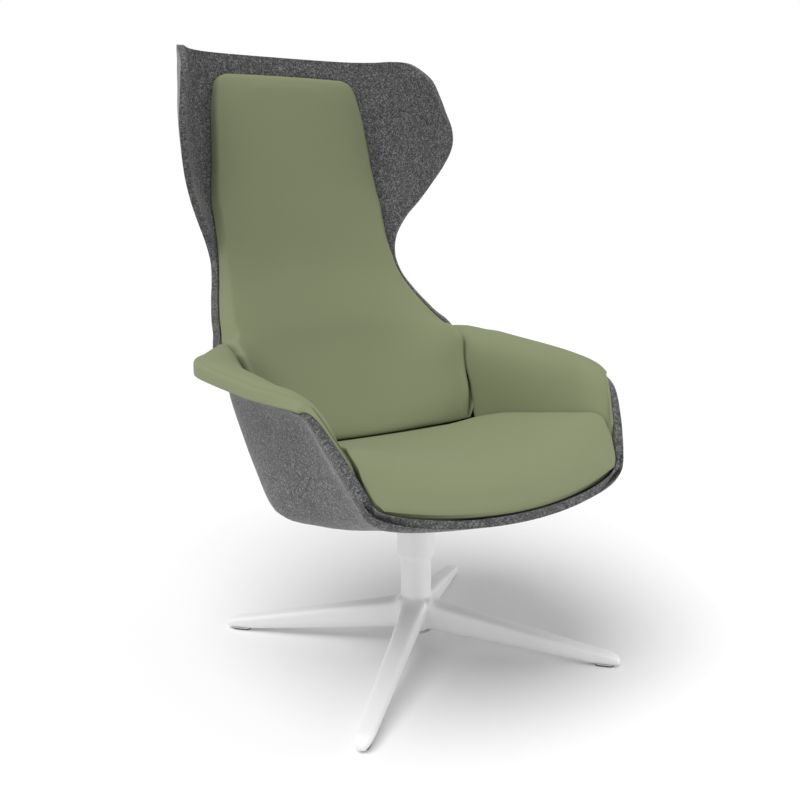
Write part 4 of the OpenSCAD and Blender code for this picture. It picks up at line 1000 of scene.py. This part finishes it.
FINISHES = (
    (steel, ("plate_bolts", "plate_washers", "mount_plate", "plate_socket", "tee_nuts",
             "swivel_spindle", "spindle_clip", "upper_race", "lower_race", "bearing_plug",
             "plug_screws")),
    (black_nylon, ("upper_bush", "lower_bush", "ball_cage", "sleeve_bearing_ring")),
    (ball_steel, ("bearing_balls",)),
    (plywood, ("seat_board",)),
    (white, ("cover_sleeve",)),
    (white_nylon, ("glide_bodies",)),
    (sole_black, ("glide_soles",)))
for material, names in FINISHES:
    for name in names:
        dress(nodes[name], material)

# ---------------------------------------------------------------- studio
FLOOR_HALF, GLOW, BACKDROP, WHITE = 30, 0.56, 1.0, (1, 1, 1, 1)
KEY_POWER, KEY_ANGLE, KEY_AIM = 2.15, 50, (0.35, 0.05, -0.9)


def place_facing(name, data, place, direction):
    """Puts a light or camera in the scene, looking along a direction."""
    obj = bpy.data.objects.new(name, data)
    bpy.context.scene.collection.objects.link(obj)
    obj.location = place
    obj.rotation_mode = "QUATERNION"
    obj.rotation_quaternion = Vector(direction).to_track_quat("-Z", "Y")
    return obj


def area_light(name, place, aim, size, power, spread):
    """A soft panel of light at a place, aimed at a point, its size in metres."""
    data = bpy.data.lights.new(name, "AREA")
    data.shape, data.size, data.size_y = "RECTANGLE", size[0], size[1]
    data.energy, data.spread = power, math.radians(spread)
    place_facing(name, data, place, Vector(aim) - Vector(place))


h = FLOOR_HALF
floor_mesh = bpy.data.meshes.new("studio_floor")
floor_mesh.from_pydata([(-h, -h, 0), (h, -h, 0), (h, h, 0), (-h, h, 0)], [], [(0, 1, 2, 3)])
floor_obj = bpy.data.objects.new("studio_floor", floor_mesh)
bpy.context.scene.collection.objects.link(floor_obj)
paper = Tree("floor_paper")
tone = paper.noise(3, detail=2)
paper.colour(paper.mix(tone, (0.87, 0.87, 0.87), (0.88, 0.88, 0.88)))
paper.set(Roughness=0.9, Specular_IOR_Level=0.1)
floor_mesh.materials.append(paper.material)

world = bpy.data.worlds.new("studio")
world.use_nodes = True
world_nodes, world_links = world.node_tree.nodes, world.node_tree.links
glow = world_nodes["Background"]
glow.inputs["Color"].default_value = WHITE
glow.inputs["Strength"].default_value = GLOW
wall = world_nodes.new("ShaderNodeBackground")
wall.inputs["Color"].default_value = WHITE
wall.inputs["Strength"].default_value = BACKDROP
seen = world_nodes.new("ShaderNodeLightPath")
blend = world_nodes.new("ShaderNodeMixShader")
world_links.new(seen.outputs["Is Camera Ray"], blend.inputs[0])
world_links.new(glow.outputs[0], blend.inputs[1])
world_links.new(wall.outputs[0], blend.inputs[2])
world_links.new(blend.outputs[0], world_nodes["World Output"].inputs["Surface"])
bpy.context.scene.world = world
bpy.context.scene.view_settings.view_transform = "Standard"

key_data = bpy.data.lights.new("key_softbox", "SUN")
key_data.energy, key_data.angle = KEY_POWER, math.radians(KEY_ANGLE)
place_facing("key_softbox", key_data, (-2, 0.4, 4), KEY_AIM)
area_light("low_left", (-1.7, -0.9, 0.30), (0, 0, 0.06), (0.9, 0.4), power=0.35, spread=70)
area_light("low_right", (1.7, -1.1, 0.30), (0, 0, 0.06), (0.9, 0.4), power=1.6, spread=70)
area_light("side_strip", (-2.1, 1.5, 0.34), (-0.25, 0.05, 0.42), (0.7, 0.5), power=0.4, spread=90)

# ---------------------------------------------------------------- camera
AZIMUTH, ELEVATION, DISTANCE = math.radians(-32.2), math.radians(11.86), 1.7913
TARGET, SENSOR, LENS, SHIFT = Vector((0, 0, 0.480)), 36, 44.52, -0.02004
back = Vector((math.sin(AZIMUTH) * math.cos(ELEVATION), -math.cos(AZIMUTH) * math.cos(ELEVATION),
               math.sin(ELEVATION)))
camera_data = bpy.data.cameras.new("camera")
camera_data.sensor_width, camera_data.lens, camera_data.shift_x = SENSOR, LENS, SHIFT
camera_data.clip_start, camera_data.clip_end = 0.05, 100
bpy.context.scene.camera = place_facing("camera", camera_data, TARGET + back * DISTANCE, -back)
